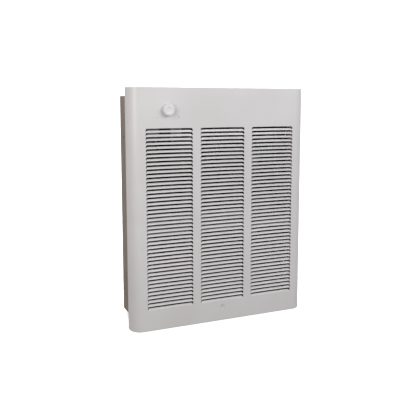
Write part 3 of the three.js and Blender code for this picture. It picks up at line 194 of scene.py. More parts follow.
def lathe(bm, profile, centre, count):
    # Rings of (radius, y) about an axis along Y: a radius of 0 closes the shape in a point.
    rings = []
    for radius, y in profile:
        ring = circlePoints(count, radius) if radius else [(0, 0)]
        rings.append([bm.verts.new((centre[0] + u, y, centre[1] + v)) for u, v in ring])
    for ringA, ringB in zip(rings, rings[1:]):
        if len(ringA) == 1 or len(ringB) == 1:
            tip, ring = (ringA[0], ringB) if len(ringA) == 1 else (ringB[0], ringA)
            for i in range(count):
                bm.faces.new((tip, ring[i], ring[(i + 1) % count]))
        else:
            bridge(bm, ringA, ringB)
    outward(bm)


def sweep(bm, path, section, axis):  # a bar along points in a plane; the section's second axis is given
    rings = []
    for i, point in enumerate(path):
        ahead = Vector(path[min(i + 1, len(path) - 1)]) - Vector(path[max(i - 1, 0)])
        across = ahead.normalized().cross(Vector(axis))
        rings.append([bm.verts.new(Vector(point) + across * u + Vector(axis) * v) for u, v in section])
    for ringA, ringB in zip(rings, rings[1:]):
        bridge(bm, ringA, ringB)
    bm.faces.new(rings[0])
    bm.faces.new(rings[-1])


def startTree(name, sockets):  # a tree with named inputs, and the sockets that give them
    tree = bpy.data.node_groups.new(name, "GeometryNodeTree")
    tree.interface.new_socket("Geometry", in_out="INPUT", socket_type="NodeSocketGeometry")
    tree.interface.new_socket("Geometry", in_out="OUTPUT", socket_type="NodeSocketGeometry")
    for label, kind in sockets.items():
        tree.interface.new_socket(label, in_out="INPUT", socket_type="NodeSocket" + kind)
    return tree, addNode(tree, "NodeGroupInput").outputs


def endTree(tree, geometry, material):  # plain faces, with their finish
    realized = addNode(tree, "GeometryNodeRealizeInstances", {"Geometry": geometry})
    finished = addNode(tree, "GeometryNodeSetMaterial", {"Geometry": realized, "Material": material})
    addNode(tree, "NodeGroupOutput", {"Geometry": finished})
    return tree


def runTree(obj, tree, slot, values):  # the tree on the object; a blank that it copied is removed
    modifier = obj.modifiers.new(tree.name, "NODES")
    modifier.node_group = tree
    identifiers = {item.name: item.identifier for item in tree.interface.items_tree if item.in_out == "INPUT"}
    for label, value in {"Material": finishes[slot], **values}.items():
        modifier[identifiers[label]] = value
    settle(obj)
    for value in values.values():
        if isinstance(value, bpy.types.Object):
            bpy.data.objects.remove(value)


noiseRange = (0.3, 0.7)  # most of a noise pattern's values lie between these


def startFinish(name):  # its patterns lie in Object coordinates: metres, in the heater's own frame
    material = bpy.data.materials.new(name)
    material.use_nodes = True
    tree = material.node_tree
    tree.nodes.clear()
    return material, tree, addNode(tree, "ShaderNodeTexCoord").outputs["Object"]


def layer(tree, value, ends, share, under, over):  # a tone over another, up to that share at the value's upper end
    tones = [linear(tone) if isinstance(tone, str) else tone for tone in (under, over)]
    amount = addNode(tree, "ShaderNodeMapRange", {
        "Value": value, "From Min": ends[0], "From Max": ends[1], "To Max": share})
    mixed = addNode(tree, "ShaderNodeMix", {0: amount, 6: tones[0], 7: tones[1]}, data_type="RGBA")
    return mixed.outputs[2]


def endFinish(tree, colour, gloss, bump, sockets):
    # Gloss: a value, its ends and the roughness at each. Bump: a height, its depth in mm and its strength.
    values = {"Base Color": colour, **sockets}
    if gloss:
        value, ends, roughness = gloss
        rough = addNode(tree, "ShaderNodeMapRange", {
            "Value": value, "From Min": ends[0], "From Max": ends[1], "To Min": roughness[0], "To Max": roughness[1]})
        values["Roughness"] = rough
    if bump:
        height, depth, strength = bump
        relief = addNode(tree, "ShaderNodeBump", {"Height": height, "Distance": depth * mm, "Strength": strength})
        values["Normal"] = relief
    shader = addNode(tree, "ShaderNodeBsdfPrincipled", values)
    addNode(tree, "ShaderNodeOutputMaterial", {"Surface": shader})


def plainFinish(name, tones, blotMm, grainMm, gloss, bumpMm, metallic=0.0, ior=1.5, stretch=(1, 1, 1), more=None):
    # Broad blots drift between two tones; fine grain sets the gloss, from and to a roughness, and the bump.
    material, tree, place = startFinish(name)
    along = addNode(tree, "ShaderNodeMapping", {"Vector": place, "Scale": stretch})
    blots, grain = [addNode(tree, "ShaderNodeTexNoise", {
        "Vector": along, "Scale": 1 / (size * mm), "Detail": 3.0}) for size in (blotMm, grainMm)]
    colour = layer(tree, blots, noiseRange, 1.0, *tones)
    endFinish(tree, colour, (grain, noiseRange, gloss), (grain, bumpMm, 0.5), {
        "Metallic": metallic, "IOR": ior, **(more or {})})
    return material


def powderCoat():
    # Polyester powder coat, sprayed and baked: even and satin, with the faint orange peel of the film
    # (2.4 mm from crest to crest), slow drifts of tone, and a little dust haze on top.
    material, tree, place = startFinish("Powder coat, light grey")
    peel, drift, speck = [addNode(tree, "ShaderNodeTexNoise", {
        "Vector": place, "Scale": 1 / (size * mm), "Detail": detail})
        for size, detail in ((2.4, 1.5), (110, 2), (1.1, 2))]
    base = layer(tree, drift, (0.35, 0.65), 1.0, "#d6d4d5", "#d1cfcf")
    colour = layer(tree, speck, (0.55, 0.75), 0.25, base, "#c9c7c8")
    endFinish(tree, colour, (peel, noiseRange, (0.36, 0.44)), (peel, 0.03, 0.35), {
        "IOR": 1.5, "Coat Weight": 0.1, "Coat Roughness": 0.25})
    return material


def boxEnamel():
    # Baked brown-grey enamel on folded sheet: matt and even, with slow drifts of tone, faint rubs along Z
    # where it has been handled, and a fine sandy grain.
    material, tree, place = startFinish("Baked enamel, brown grey")
    along = addNode(tree, "ShaderNodeMapping", {"Vector": place, "Scale": (1, 1, 0.1)})
    mottle, rubs, grain = [addNode(tree, "ShaderNodeTexNoise", {
        "Vector": vector, "Scale": 1 / (size * mm), "Detail": detail, "Roughness": roughness})
        for vector, size, detail, roughness in ((place, 60, 3, 0.5), (along, 6, 5, 0.65), (place, 0.9, 2, 0.5))]
    base = layer(tree, mottle, noiseRange, 1.0, "#8c7e76", "#82756d")
    colour = layer(tree, rubs, (0.55, 0.75), 0.2, base, "#9f948b")
    endFinish(tree, colour, (mottle, noiseRange, (0.48, 0.62)), (grain, 0.03, 0.5), {"IOR": 1.5})
    return material


def galvanisedSheet():
    # Hot-dip galvanised steel: zinc crystals about 9 mm across, each with its own tone and gloss,
    # under a thin grey patina.
    material, tree, place = startFinish("Galvanised sheet, spangled")
    crystals = addNode(tree, "ShaderNodeTexVoronoi", {"Vector": place, "Scale": 1 / (9 * mm)})
    tone = addNode(tree, "ShaderNodeSeparateColor", {"Color": crystals.outputs["Color"]})
    patina, fine = [addNode(tree, "ShaderNodeTexNoise", {
        "Vector": place, "Scale": 1 / (size * mm), "Detail": detail})
        for size, detail in ((45, 4), (1.5, 3))]
    spangle = layer(tree, tone, (0, 1), 1.0, "#8f9396", "#a3a7a9")
    colour = layer(tree, patina, (0.4, 0.7), 0.5, spangle, "#7b7f81")
    endFinish(tree, colour, (tone.outputs["Green"], (0, 1), (0.34, 0.52)), (fine, 0.01, 0.4), {"Metallic": 1.0})
    return material


def siliconSteel():
    # Varnished silicon-steel laminations, stacked along the motor's axis: drawn 1 mm thick, twice the real
    # gauge, so that the stack still shows. A wave of scale 1 repeats every pi / 10 metres.
    material, tree, place = startFinish("Silicon steel laminations")
    stack = addNode(tree, "ShaderNodeTexWave", {"Vector": place, "Scale": math.pi / (10 * mm)}, bands_direction="Y")
    bands = stack.outputs["Fac"]
    colour = layer(tree, bands, (0, 1), 1.0, "#55575a", "#7a7d80")
    endFinish(tree, colour, None, (bands, 0.08, 0.6), {"Roughness": 0.45, "Metallic": 0.9})
    return material


def brazedSteel():
    # Copper-brazed steel fins: reddish brown, with straw and blue heat tints and a dull oxide film.
    material, tree, place = startFinish("Copper-brazed steel, heat-tinted")
    heat, oxide = [addNode(tree, "ShaderNodeTexNoise", {
        "Vector": place, "Scale": 1 / (size * mm), "Detail": detail})
        for size, detail in ((32, 3), (1.8, 4))]
    tint = addNode(tree, "ShaderNodeValToRGB", {"Fac": heat})
    cool, hot = tint.color_ramp.elements
    cool.position, cool.color = 0.35, linear("#4c3b3c")
    hot.position, hot.color = 0.66, linear("#9a5c39")
    tint.color_ramp.elements.new(0.5).color = linear("#7a4633")
    colour = layer(tree, oxide, (0, 1), 1.0, tint, "#6b4a3c")
    endFinish(tree, colour, (oxide, noiseRange, (0.38, 0.58)), None, {"Metallic": 0.85})
    return material


def braidedSleeve():
    # Silicone-rubber lead under a varnished glass braid: the plait crosses about every 0.8 mm.
    material, tree, place = startFinish("Braided lead, black")
    plait = addNode(tree, "ShaderNodeTexVoronoi", {"Vector": place, "Scale": 1 / (0.8 * mm)})
    colour = layer(tree, plait, (0, 1), 1.0, "#303033", "#141416")
    endFinish(tree, colour, None, (plait, 0.08, 0.6), {"Roughness": 0.5, "IOR": 1.45})
    return material


finishes = {
    "cover_enamel": powderCoat(), "box_paint": boxEnamel(), "galvanised": galvanisedSheet(),
    "laminations": siliconSteel(), "brazed_fins": brazedSteel(), "wire_black": braidedSleeve(),
    # Heat-resistant black, air-dried: dead matt and slightly dusty.
    "black_paint": plainFinish(
        "Heat-resistant paint, matt black", ("#1b1a1b", "#262527"), 30, 0.9, (0.62, 0.78), 0.03),
    # Bright zinc plate on headed or turned steel: bluish and glossy, with fine tool marks.
    "steel": plainFinish(
        "Zinc-plated steel", ("#aeb1b4", "#c6c9cc"), 6, 0.8, (0.2, 0.34), 0.005, 1.0, stretch=(1, 3, 1)),
    # Mill-finish aluminium sheet: rolling lines run one way, so the gloss is streaked. Its colour is far darker than
    # bare aluminium: painted shade for the dim inside of the heater.
    "fan_aluminium": plainFinish(
        "Rolled aluminium sheet", ("#56595b", "#6b6e70"), 14, 0.9, (0.42, 0.56), 0.005, 1.0, stretch=(1, 1, 0.06)),
    # Oil-filled sintered bronze: dull brown gold, finely porous.
    "bronze": plainFinish("Sintered bronze", ("#7d5a2c", "#b08a52"), 2.5, 0.5, (0.45, 0.62), 0.03, 1.0),
    # Glazed steatite bush: warm white and glossy, with faint iron specks.
    "ceramic": plainFinish("Glazed steatite", ("#d8cfbf", "#ebe6da"), 1.6, 0.6, (0.12, 0.2), 0.01, ior=1.55),
    # Compression-moulded phenolic: dark brown, semi-gloss, mottled by its filler.
    "phenolic": plainFinish("Moulded phenolic", ("#261c18", "#3c2f28"), 1.8, 0.7, (0.3, 0.44), 0.01, ior=1.6),
    # Injection-moulded ABS: light grey and satin, with the fine texture of a spark-eroded mould.
    "knob_plastic": plainFinish(
        "Moulded ABS, light grey", ("#d8d7da", "#dfdee1"), 8, 0.7, (0.3, 0.4), 0.015, ior=1.53),
    # Injection-moulded nylon: even, low gloss, with slight flow marks.
    "black_nylon": plainFinish("Moulded nylon, black", ("#161618", "#242427"), 4, 0.8, (0.36, 0.5), 0.01, ior=1.53),
    "red_plastic": plainFinish("Moulded nylon, red", ("#9f221c", "#b9362c"), 3, 0.8, (0.3, 0.42), 0.01, ior=1.53),
    # Copper tube, drawn and annealed: dark brown where it has tarnished, and darkened almost to black as painted shade
    # for the dim inside of the heater.
    "copper": plainFinish("Drawn copper", ("#26201e", "#3b2e29"), 7, 1.2, (0.28, 0.46), 0.005, 1.0),
    # Green-dyed zinc plate, the usual finish of an earthing screw.
    "green_steel": plainFinish("Green-dyed zinc plate", ("#1a3d25", "#285334"), 3, 0.8, (0.26, 0.4), 0.005, 0.8),
}
# Screen-printed epoxy ink: matt mid grey, thin at its edges.
markInk = plainFinish("Screen ink, grey", ("#a9a7a9", "#bab8b9"), 0.8, 0.4, (0.5, 0.62), 0.005)

for part in frame["record"]["subparts"]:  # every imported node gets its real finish
    dress(nodes[part["node"]], finishes[part["material_slot"]])
print("finishes made:", len(finishes) + 1)


view = {  # solved from the photograph's perspective, in the heater's frame: metres, degrees and millimetres
    "place": (-0.5188, -1.2653, 0.2205), "pitch": 83.01, "turn": -23.39, "lens": 50.39, "sensor": 36,
    "shiftY": -0.0795, "near": 0.01,
}


def makeCamera():
    data = bpy.data.cameras.new("camera")
    data.lens = view["lens"]
    data.sensor_width = view["sensor"]
    data.shift_y = view["shiftY"]
    data.clip_start = view["near"]
    camera = bpy.data.objects.new("camera", data)
    camera.location = view["place"]
    camera.rotation_euler = (math.radians(view["pitch"]), 0, math.radians(view["turn"]))
    scene.collection.objects.link(camera)
    scene.camera = camera


studio = {  # watts and tints; the lights stand in front, the key light highest
    "key": 9.7, "keyTint": (0.98, 1.0, 1.03), "side": 3.2, "sideTint": (1.0, 0.99, 0.97), "backdrop": 60.0,
    "paper": ("#f4f4f3", "#f8f8f7"), "glow": 0.5, "room": 0.4, "roomTint": (1.0, 0.965, 0.945, 1.0),
    "wall": 1.0, "wallTowards": (0.5, 0.866, -0.05), "wallCosine": (0.74, 0.82),
}


def areaLight(name, place, aim, size, watts, tint=(1, 1, 1)):
    data = bpy.data.lights.new(name, "AREA")
    data.shape = "RECTANGLE"
    data.size, data.size_y = size
    data.energy = watts
    data.color = tint
    lamp = bpy.data.objects.new(name, data)
    lamp.location = place
    lamp.rotation_euler = (Vector(aim) - Vector(place)).to_track_quat("-Z", "Y").to_euler()
    scene.collection.objects.link(lamp)


def makeWorld():  # a white wall beyond the heater, in an even grey room
    world = bpy.data.worlds.new("studio")
    world.use_nodes = True
    tree = world.node_tree
    tree.nodes.clear()
    place = addNode(tree, "ShaderNodeTexCoord")
    near = addNode(tree, "ShaderNodeVectorMath", {0: place.outputs["Generated"], 1: studio["wallTowards"]},
                   operation="DOT_PRODUCT")
    nearness = near.outputs["Value"]
    ends = studio["wallCosine"]
    level = addNode(tree, "ShaderNodeMapRange", {
        "Value": nearness, "From Min": ends[0], "From Max": ends[1], "To Min": studio["room"],
        "To Max": studio["wall"]})
    tint = layer(tree, nearness, ends, 1.0, studio["roomTint"], (1, 1, 1, 1))
    sky = addNode(tree, "ShaderNodeBackground", {"Color": tint, "Strength": level})
    addNode(tree, "ShaderNodeOutputWorld", {"Surface": sky})
    scene.world = world


paper = {"reach": 3.0, "front": -2.6, "back": 1.3, "top": 2.6, "bend": 0.5, "below": 0.5 * mm, "steps": 16}  # metres


def makeFloor():  # seamless paper that rises into a backdrop
    low = cadBounds[0][2] - paper["below"]
    back, radius = paper["back"], paper["bend"]
    line = [(paper["front"], low)] + arc(back - radius, low + radius, radius, -90, 0, paper["steps"])
    line.append((back, paper["top"]))
    bm = bmesh.new()
    rows = [[bm.verts.new((x, y, z)) for y, z in line] for x in (-paper["reach"], paper["reach"])]
    for i in range(len(line) - 1):
        bm.faces.new((rows[0][i], rows[1][i], rows[1][i + 1], rows[0][i + 1]))
    floor = newObject("floor", bm)
    for face in floor.data.polygons:
        face.use_smooth = True
    dress(floor, plainFinish("Seamless paper, pale", studio["paper"], 60, 5, (0.85, 0.95), 0.05, ior=1.45, more={
        "Specular IOR Level": 0.2, "Emission Color": (1, 1, 1, 1), "Emission Strength": studio["glow"]}))
    floor.visible_diffuse = False  # white paper, but it neither lights the heater nor shows in its gloss
    floor.visible_glossy = False


makeCamera()
makeWorld()
makeFloor()
areaLight("key softbox", (0.64, -1.18, 0.76), (0, -0.1, 0), (0.9, 0.6), studio["key"], studio["keyTint"])
areaLight("side strip", (-0.743, -0.617, 0.365), (0, -0.1, 0), (0.3, 0.7), studio["side"], studio["sideTint"])
areaLight("backdrop light", (0.3, 0.55, 1.9), (0.4, 1.1, 0.2), (2.4, 0.4), studio["backdrop"])
scene.view_settings.view_transform = "Standard"
print("camera, lights and floor made")


cover = {  # mm; lean and lines are shares of the blade
    "sheet": 1.2, "bend": 26.0, "fold": 1.5, "notch": 2.5, "bendSteps": 14, "foldSteps": 4,
    "returnInner": 185.0, "rows": 46, "columns": 3, "pitch": 8.2, "slotWidth": 101.3, "mullion": 18.0,
    "topMargin": 83.3, "gap": 4.05, "setIn": 3.8, "land": 0.45, "bow": 0.35, "slotCorner": 3.0,
    "bladeCorner": 2.6, "endSlit": 1.2, "tileMargin": 3.5,
    "lean": 0.45, "bladeSteps": 5, "bladeLines": (0.0, 0.42, 0.74), "cornerLines": (0.45, 0.8), "slotRound": 0.1,
    "hookX": 120.0, "hookWidth": 14.0, "hookShelf": 22.5, "hookDrop": 6.4, "hookBend": 1.5, "hookBehind": 2.8,
    "hookAhead": 2.6, "hookSteps": 4, "screwDrop": 473.3, "holeSides": 48, "dimpleSides": 40,
    "knobHole": ((6.0, 0),),  # as radius and depth
    "dimple": ((5.4, 0), (5.0, 0.05), (4.7, 0.2), (3.4, 1.3), (3.1, 1.45), (2.8, 1.5), (2.5, 1.5)),
}


def coverHook(bm, x, top, rimY):  # a folded strip from the top flange, through the box's slot and down behind its rim
    sheet, bend = cover["sheet"] * mm, cover["hookBend"] * mm
    front, back = rimY - cover["hookAhead"] * mm, rimY + cover["hookBehind"] * mm
    shelf = top - cover["hookShelf"] * mm - sheet / 2
    line = arc(front + bend, shelf + bend, bend, 180, 270, cover["hookSteps"])
    line += arc(back - bend, shelf - bend, bend, 90, 0, cover["hookSteps"])
    path = [(x, y, z) for y, z in [(front, top - sheet)] + line + [(back, shelf - cover["hookDrop"] * mm)]]
    half = cover["hookWidth"] * mm / 2
    sweep(bm, path, [(-sheet / 2, -half), (sheet / 2, -half), (sheet / 2, half), (-sheet / 2, half)], (1, 0, 0))


def coverProfile(lowY, highY, halfWidth):  # left rear edge, round the left bend, to the start of the face
    r = cover["bend"] * mm
    points = [((-halfWidth, highY), (-1, 0)), ((-halfWidth, highY - cover["fold"] * mm), (-1, 0))]
    for nx, ny in arc(0, 0, 1, 180, 270, cover["bendSteps"]):
        points.append(((-halfWidth + r + r * nx, lowY + r + r * ny), (nx, ny)))
    right = [((-x, y), (-nx, ny)) for (x, y), (nx, ny) in reversed(points)]
    return points, right


def slotLines():  # the louver tile's lines across X, from its middle to the right, in mm
    half = cover["slotWidth"] / 2
    blade = half - cover["endSlit"]
    corner, round_ = blade - cover["bladeCorner"], half - cover["slotCorner"]
    ends = sorted({corner, round_}.union(corner + share * cover["bladeCorner"] for share in cover["cornerLines"]))
    return [half * share for share in cover["bladeLines"]] + ends + [blade], half


def cornerDrop(x, half, radius):  # how far a rounded corner falls below its straight edge
    past = max(0.0, abs(x) - (half - radius))
    return radius - math.sqrt(max(0.0, radius * radius - past * past))


def bowAt(x, half):
    return cover["bow"] * (1 - min(1.0, abs(x) / half) ** 2)


def bladeDepth(z, bottom):  # the blade leans in more and more from its fold to its tip
    share = max(0.0, (z - bottom) / (-cover["gap"] - bottom))
    return cover["setIn"] * (cover["lean"] * share + (1 - cover["lean"]) * share * share)


def louverTile(faceY):
    # One pitch of one column: the strip above the slot, the blade and the flat ends beside them.
    right, half = slotLines()
    lines = [-x for x in reversed(right) if x > 0] + right
    bladeHalf = right[-1]
    top, bottom = cover["land"], cover["land"] - cover["pitch"]
    rows = cover["bladeSteps"]
    bm = bmesh.new()

    def vert(x, z, depth=0.0):
        return bm.verts.new((x * mm, faceY + depth * mm, z * mm))

    slotTop = [vert(x, bowAt(x, half) - cornerDrop(x, half, cover["slotCorner"])) for x in lines]
    tileTop = [vert(x, top + bowAt(x, half)) for x in lines]
    for i in range(len(lines) - 1):
        bm.faces.new((slotTop[i], slotTop[i + 1], tileTop[i + 1], tileTop[i]))
    blade = []
    for x in lines:
        tip = -cover["gap"] - cornerDrop(x, bladeHalf, cover["bladeCorner"])
        column = []
        for row in range(rows + 1):
            z = tip + (bottom - tip) * row / rows
            column.append(vert(x, z + bowAt(x, half), bladeDepth(z, bottom)))
        blade.append(column)
    for a, b in zip(blade, blade[1:]):
        for row in range(rows):
            bm.faces.new((a[row + 1], b[row + 1], b[row], a[row]))
    for side, edge, slotEdge, topEdge in ((-1, blade[0], slotTop[0], tileTop[0]),
                                          (1, blade[-1], slotTop[-1], tileTop[-1])):
        wall = [vert(side * half, v.co.z / mm) for v in edge]
        wallTop = vert(side * half, top)
        wallSlot = vert(side * half, -cover["slotCorner"])
        roundX = half - cover["slotRound"] * cover["slotCorner"]
        wallRound = vert(side * roundX, -cornerDrop(roundX, half, cover["slotCorner"]))
        outerTop = vert(side * (half + cover["tileMargin"]), top)
        outerLow = vert(side * (half + cover["tileMargin"]), bottom)
        faces = [[slotEdge, wallRound, wallSlot, wallTop, topEdge], [outerLow, outerTop, wallTop, wallSlot] + wall]
        for row in range(rows):
            faces.append([edge[row + 1], wall[row + 1], wall[row], edge[row]])
        for face in faces:
            bm.faces.new(face if side > 0 else list(reversed(face)))
    outward(bm)
    if sum(face.normal.y for face in bm.faces) > 0:
        bmesh.ops.reverse_faces(bm, faces=bm.faces)
    tile = newObject("louverTile", bm)
    borders = {"lines": lines, "half": half, "outer": half + cover["tileMargin"], "top": top, "bottom": bottom}
    return tile, borders


def louverField():  # places louver tiles in rows and columns and welds them to the sheet
    tree, given = startTree("louverField", {
        "Tile": "Object", "Rows": "Int", "Columns": "Int", "Pitch": "Float", "Column Spacing": "Float",
        "Top": "Float", "Material": "Material"})
    leftmost = addNode(tree, "ShaderNodeMath", {0: given["Columns"], 1: -0.5, 2: 0.5}, operation="MULTIPLY_ADD")
    leftX = addNode(tree, "ShaderNodeMath", {0: leftmost, 1: given["Column Spacing"]}, operation="MULTIPLY")
    down = addNode(tree, "ShaderNodeMath", {0: given["Pitch"], 1: -1.0}, operation="MULTIPLY")
    start = addNode(tree, "ShaderNodeCombineXYZ", {"X": leftX, "Z": given["Top"]})
    across = addNode(tree, "ShaderNodeCombineXYZ", {"X": given["Column Spacing"]})
    step = addNode(tree, "ShaderNodeCombineXYZ", {"Z": down})
    heads = addNode(tree, "GeometryNodeMeshLine", {
        "Count": given["Columns"], "Start Location": start, "Offset": across})
    column = addNode(tree, "GeometryNodeMeshLine", {"Count": given["Rows"], "Offset": step})
    columns = addNode(tree, "GeometryNodeInstanceOnPoints", {"Points": heads, "Instance": column})
    places = addNode(tree, "GeometryNodeRealizeInstances", {"Geometry": columns})
    tile = addNode(tree, "GeometryNodeObjectInfo", {"Object": given["Tile"]})
    louvers = addNode(tree, "GeometryNodeInstanceOnPoints", {"Points": places, "Instance": tile.outputs["Geometry"]})
    plain = addNode(tree, "GeometryNodeRealizeInstances", {"Geometry": louvers})
    joined = addNode(tree, "GeometryNodeJoinGeometry")
    tree.links.new(given["Geometry"], joined.inputs[0])
    tree.links.new(plain.outputs[0], joined.inputs[0])
    welded = addNode(tree, "GeometryNodeMergeByDistance", {"Geometry": joined.outputs[0], "Distance": 0.02 * mm})
    return endTree(tree, welded.outputs[0], given["Material"])


def makeCover():
    low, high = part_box("front_cover")
    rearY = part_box("wall_box")[0].y  # the cover's rear edge lies in the plane of the box's rim
    faceY, top, bottom, halfWidth = low.y, high.z, low.z, high.x
    fold = cover["fold"] * mm
    tile, borders = louverTile(faceY)
    left, right = coverProfile(faceY, rearY, halfWidth)
    outline = left + right
    levels = arc(fold, bottom + fold, fold, 270, 180, cover["foldSteps"]) + [(0, bottom + cover["notch"] * mm)]
    levels += [(inset, top - (z - bottom)) for inset, z in reversed(levels)]
    bm = bmesh.new()
    grid = []
    for inset, z in levels:
        grid.append([bm.verts.new((x - nx * inset, y - ny * inset, z)) for (x, y), (nx, ny) in outline])
    middle = cover["foldSteps"] + 1
    faceStart = len(left) - 1
    flat = range(cover["foldSteps"], len(levels) - 1 - cover["foldSteps"])
    for k in range(len(levels) - 1):
        for i in range(len(outline) - 1):
            isFace = i == faceStart and k in flat
            isRear = k == middle and i in (0, len(outline) - 2)
            if not isFace and not isRear:
                bm.faces.new((grid[k][i], grid[k][i + 1], grid[k + 1][i + 1], grid[k + 1][i]))
    bm.faces.new(grid[0])
    bm.faces.new(grid[-1])
    for side, i in ((-1, 1), (1, len(outline) - 2)):  # the rear returns, between the corner notches
        strip = [[grid[middle][i], grid[middle + 1][i]]]
        path = arc(halfWidth - fold, rearY - fold, fold, 0, 90, cover["foldSteps"])[1:]
        for x, y in path + [(cover["returnInner"] * mm, rearY)]:
            strip.append([bm.verts.new((side * x, y, levels[k][1])) for k in (middle, middle + 1)])
        for a, b in zip(strip, strip[1:]):
            bm.faces.new((a[0], b[0], b[1], a[1]))
    facing = [grid[k][faceStart] for k in range(flat.start, flat.stop + 1)]
    facing += [grid[k][faceStart + 1] for k in range(flat.stop, flat.start - 1, -1)]
    loops = [facing]
    fieldTop = top - cover["topMargin"] * mm
    spacing = (cover["slotWidth"] + cover["mullion"]) * mm
    for column in range(cover["columns"]):
        centreX = (column - (cover["columns"] - 1) / 2) * spacing
        loops.append(fieldLoop(bm, centreX, faceY, fieldTop, borders))

    def onFace(u, v, depth):
        return (u, faceY + depth, v)

    screwAt = (0, top - cover["screwDrop"] * mm)
    for centre, profile, sides in ((centreOf("thermostat_knob"), cover["knobHole"], cover["holeSides"]),
                                   (screwAt, cover["dimple"], cover["dimpleSides"])):
        loops.append(pressing(bm, onFace, centre, profile, sides, False))
    fillPanel(bm, loops)
    outward(bm)
    sheet = newObject("coverSheet", bm)
    runTree(sheet, louverField(), "cover_enamel", {
        "Tile": tile, "Rows": cover["rows"], "Columns": cover["columns"], "Pitch": cover["pitch"] * mm,
        "Column Spacing": spacing, "Top": fieldTop})
    bm = bmesh.new()
    bm.from_mesh(sheet.data)
    outward(bm)
    if sum(face.normal.y * face.calc_area() for face in bm.faces) > 0:
        bmesh.ops.reverse_faces(bm, faces=bm.faces)
    bm.to_mesh(sheet.data)
    bm.free()
    thicken(sheet, cover["sheet"] * mm)
    bm = bmesh.new()
    bm.from_mesh(sheet.data)
    whole = len(bm.faces)
    for x in (-cover["hookX"] * mm, cover["hookX"] * mm):
        coverHook(bm, x, top, rearY)
    bm.faces.ensure_lookup_table()
    bmesh.ops.recalc_face_normals(bm, faces=bm.faces[whole:])
    bm.to_mesh(sheet.data)
    bm.free()
    fit(shade(sheet, 38), "cover_enamel", "cabinet", "front_cover")
    return faceY


def fieldLoop(bm, centreX, faceY, fieldTop, borders):  # the hole that one column of tiles fills
    def vert(x, z):
        return bm.verts.new((centreX + x * mm, faceY, fieldTop + z * mm))

    lines, half, outer = borders["lines"], borders["half"], borders["outer"]
    across = [-outer, -half] + lines + [half, outer]
    lowest = borders["top"] - cover["rows"] * cover["pitch"]
    loop = [vert(x, borders["top"] + bowAt(x, half)) for x in across]
    loop += [vert(outer, borders["top"] - row * cover["pitch"]) for row in range(1, cover["rows"])]
    loop += [vert(x, lowest + bowAt(x, half)) for x in reversed(across)]
    loop += [vert(-outer, borders["top"] - row * cover["pitch"]) for row in range(cover["rows"] - 1, 0, -1)]
    return loop


faceY = makeCover()
print("front cover made")


knob = {  # mm; soften is the share of the dish's floor that is flat
    "edge": 1.6, "draft": 0.35, "dishRadius": 6.0, "dish": 0.9, "dishEdge": 0.7, "soften": 0.9, "lip": 0.3,
    "lipDrop": 0.15, "heel": 0.3, "edgeSteps": 6, "sides": 96,
}


def makeKnob():
    low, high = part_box("thermostat_knob")
    radius, front, back = (high.x - low.x) / 2, low.y, high.y
    edge, floorRadius = knob["edge"] * mm, (knob["dishRadius"] - knob["dishEdge"]) * mm
    dish, heel, rimRadius = knob["dish"] * mm, knob["heel"] * mm, radius - knob["draft"] * mm
    profile = [
        (0, front + dish), (floorRadius * knob["soften"], front + dish), (floorRadius, front + dish * knob["soften"]),
        (knob["dishRadius"] * mm, front + knob["lipDrop"] * mm), ((knob["dishRadius"] + knob["lip"]) * mm, front)]
    profile += arc(rimRadius - edge, front + edge, edge, -90, 0, knob["edgeSteps"])
    profile += [(radius, back - heel), (radius - heel, back), (0, back)]
    bm = bmesh.new()
    lathe(bm, profile, centreOf("thermostat_knob"), knob["sides"])
    fit(shade(newObject("thermostatKnob", bm), 40), "knob_plastic", "thermostat_dial", "thermostat_knob")


marks = {"spread": 23.1, "drop": 14.8, "size": 5.0, "stroke": 0.9, "film": 0.05}  # mm, about the knob's axis


def makeMarks():  # cooler and warmer, printed as a minus and a plus
    x, z = centreOf("thermostat_knob")
    half, stroke, film = marks["size"] * mm / 2, marks["stroke"] * mm / 2, marks["film"] * mm
    arm = (half - stroke) / 2
    bars = [(-marks["spread"] * mm, 0, half, stroke), (marks["spread"] * mm, 0, half, stroke),
            (marks["spread"] * mm, stroke + arm, stroke, arm), (marks["spread"] * mm, -stroke - arm, stroke, arm)]
    bm = bmesh.new()
    for offsetX, offsetZ, halfX, halfZ in bars:
        for vert in bmesh.ops.create_cube(bm, size=1)["verts"]:
            vert.co = Vector((
                x + offsetX + vert.co.x * 2 * halfX, faceY - film / 2 + vert.co.y * film,
                z - marks["drop"] * mm + offsetZ + vert.co.z * 2 * halfZ))
    dress(fit(newObject("scaleMarks", bm), "cover_enamel", "cabinet"), markInk)


wallBox = {  # mm
    "sheet": 1.2, "fold": 1.6, "foldSteps": 3, "rim": 10.0, "knockoutFirst": 56.0, "knockoutPitch": 44.0,
    "nailHole": 5.5, "nailInset": 89.0, "nailSetbacks": (28.0, 78.0),
    "hookSlot": (15.0, 5.3), "hookSlotTop": 2.0, "ease": 1.0, "easeSteps": 3, "sides": 32,
    "welds": 3, "weldPitch": 28.0, "weldInset": 8.0, "weldSetback": 12.0,
    # Pressings, as radius and depth.
    "knockout": ((11.1, 0), (11.05, 0.1), (11.0, 0.55), (10.9, 0.6)),
    "boss": ((14.2, 0), (13.6, 0.25), (13.2, 0.8), (10.6, 4.3), (10.2, 4.8), (9.6, 5.0), (2.4, 5.0)),
    "weld": ((2.6, 0), (2.3, 0.1), (1.2, 0.16)),
}


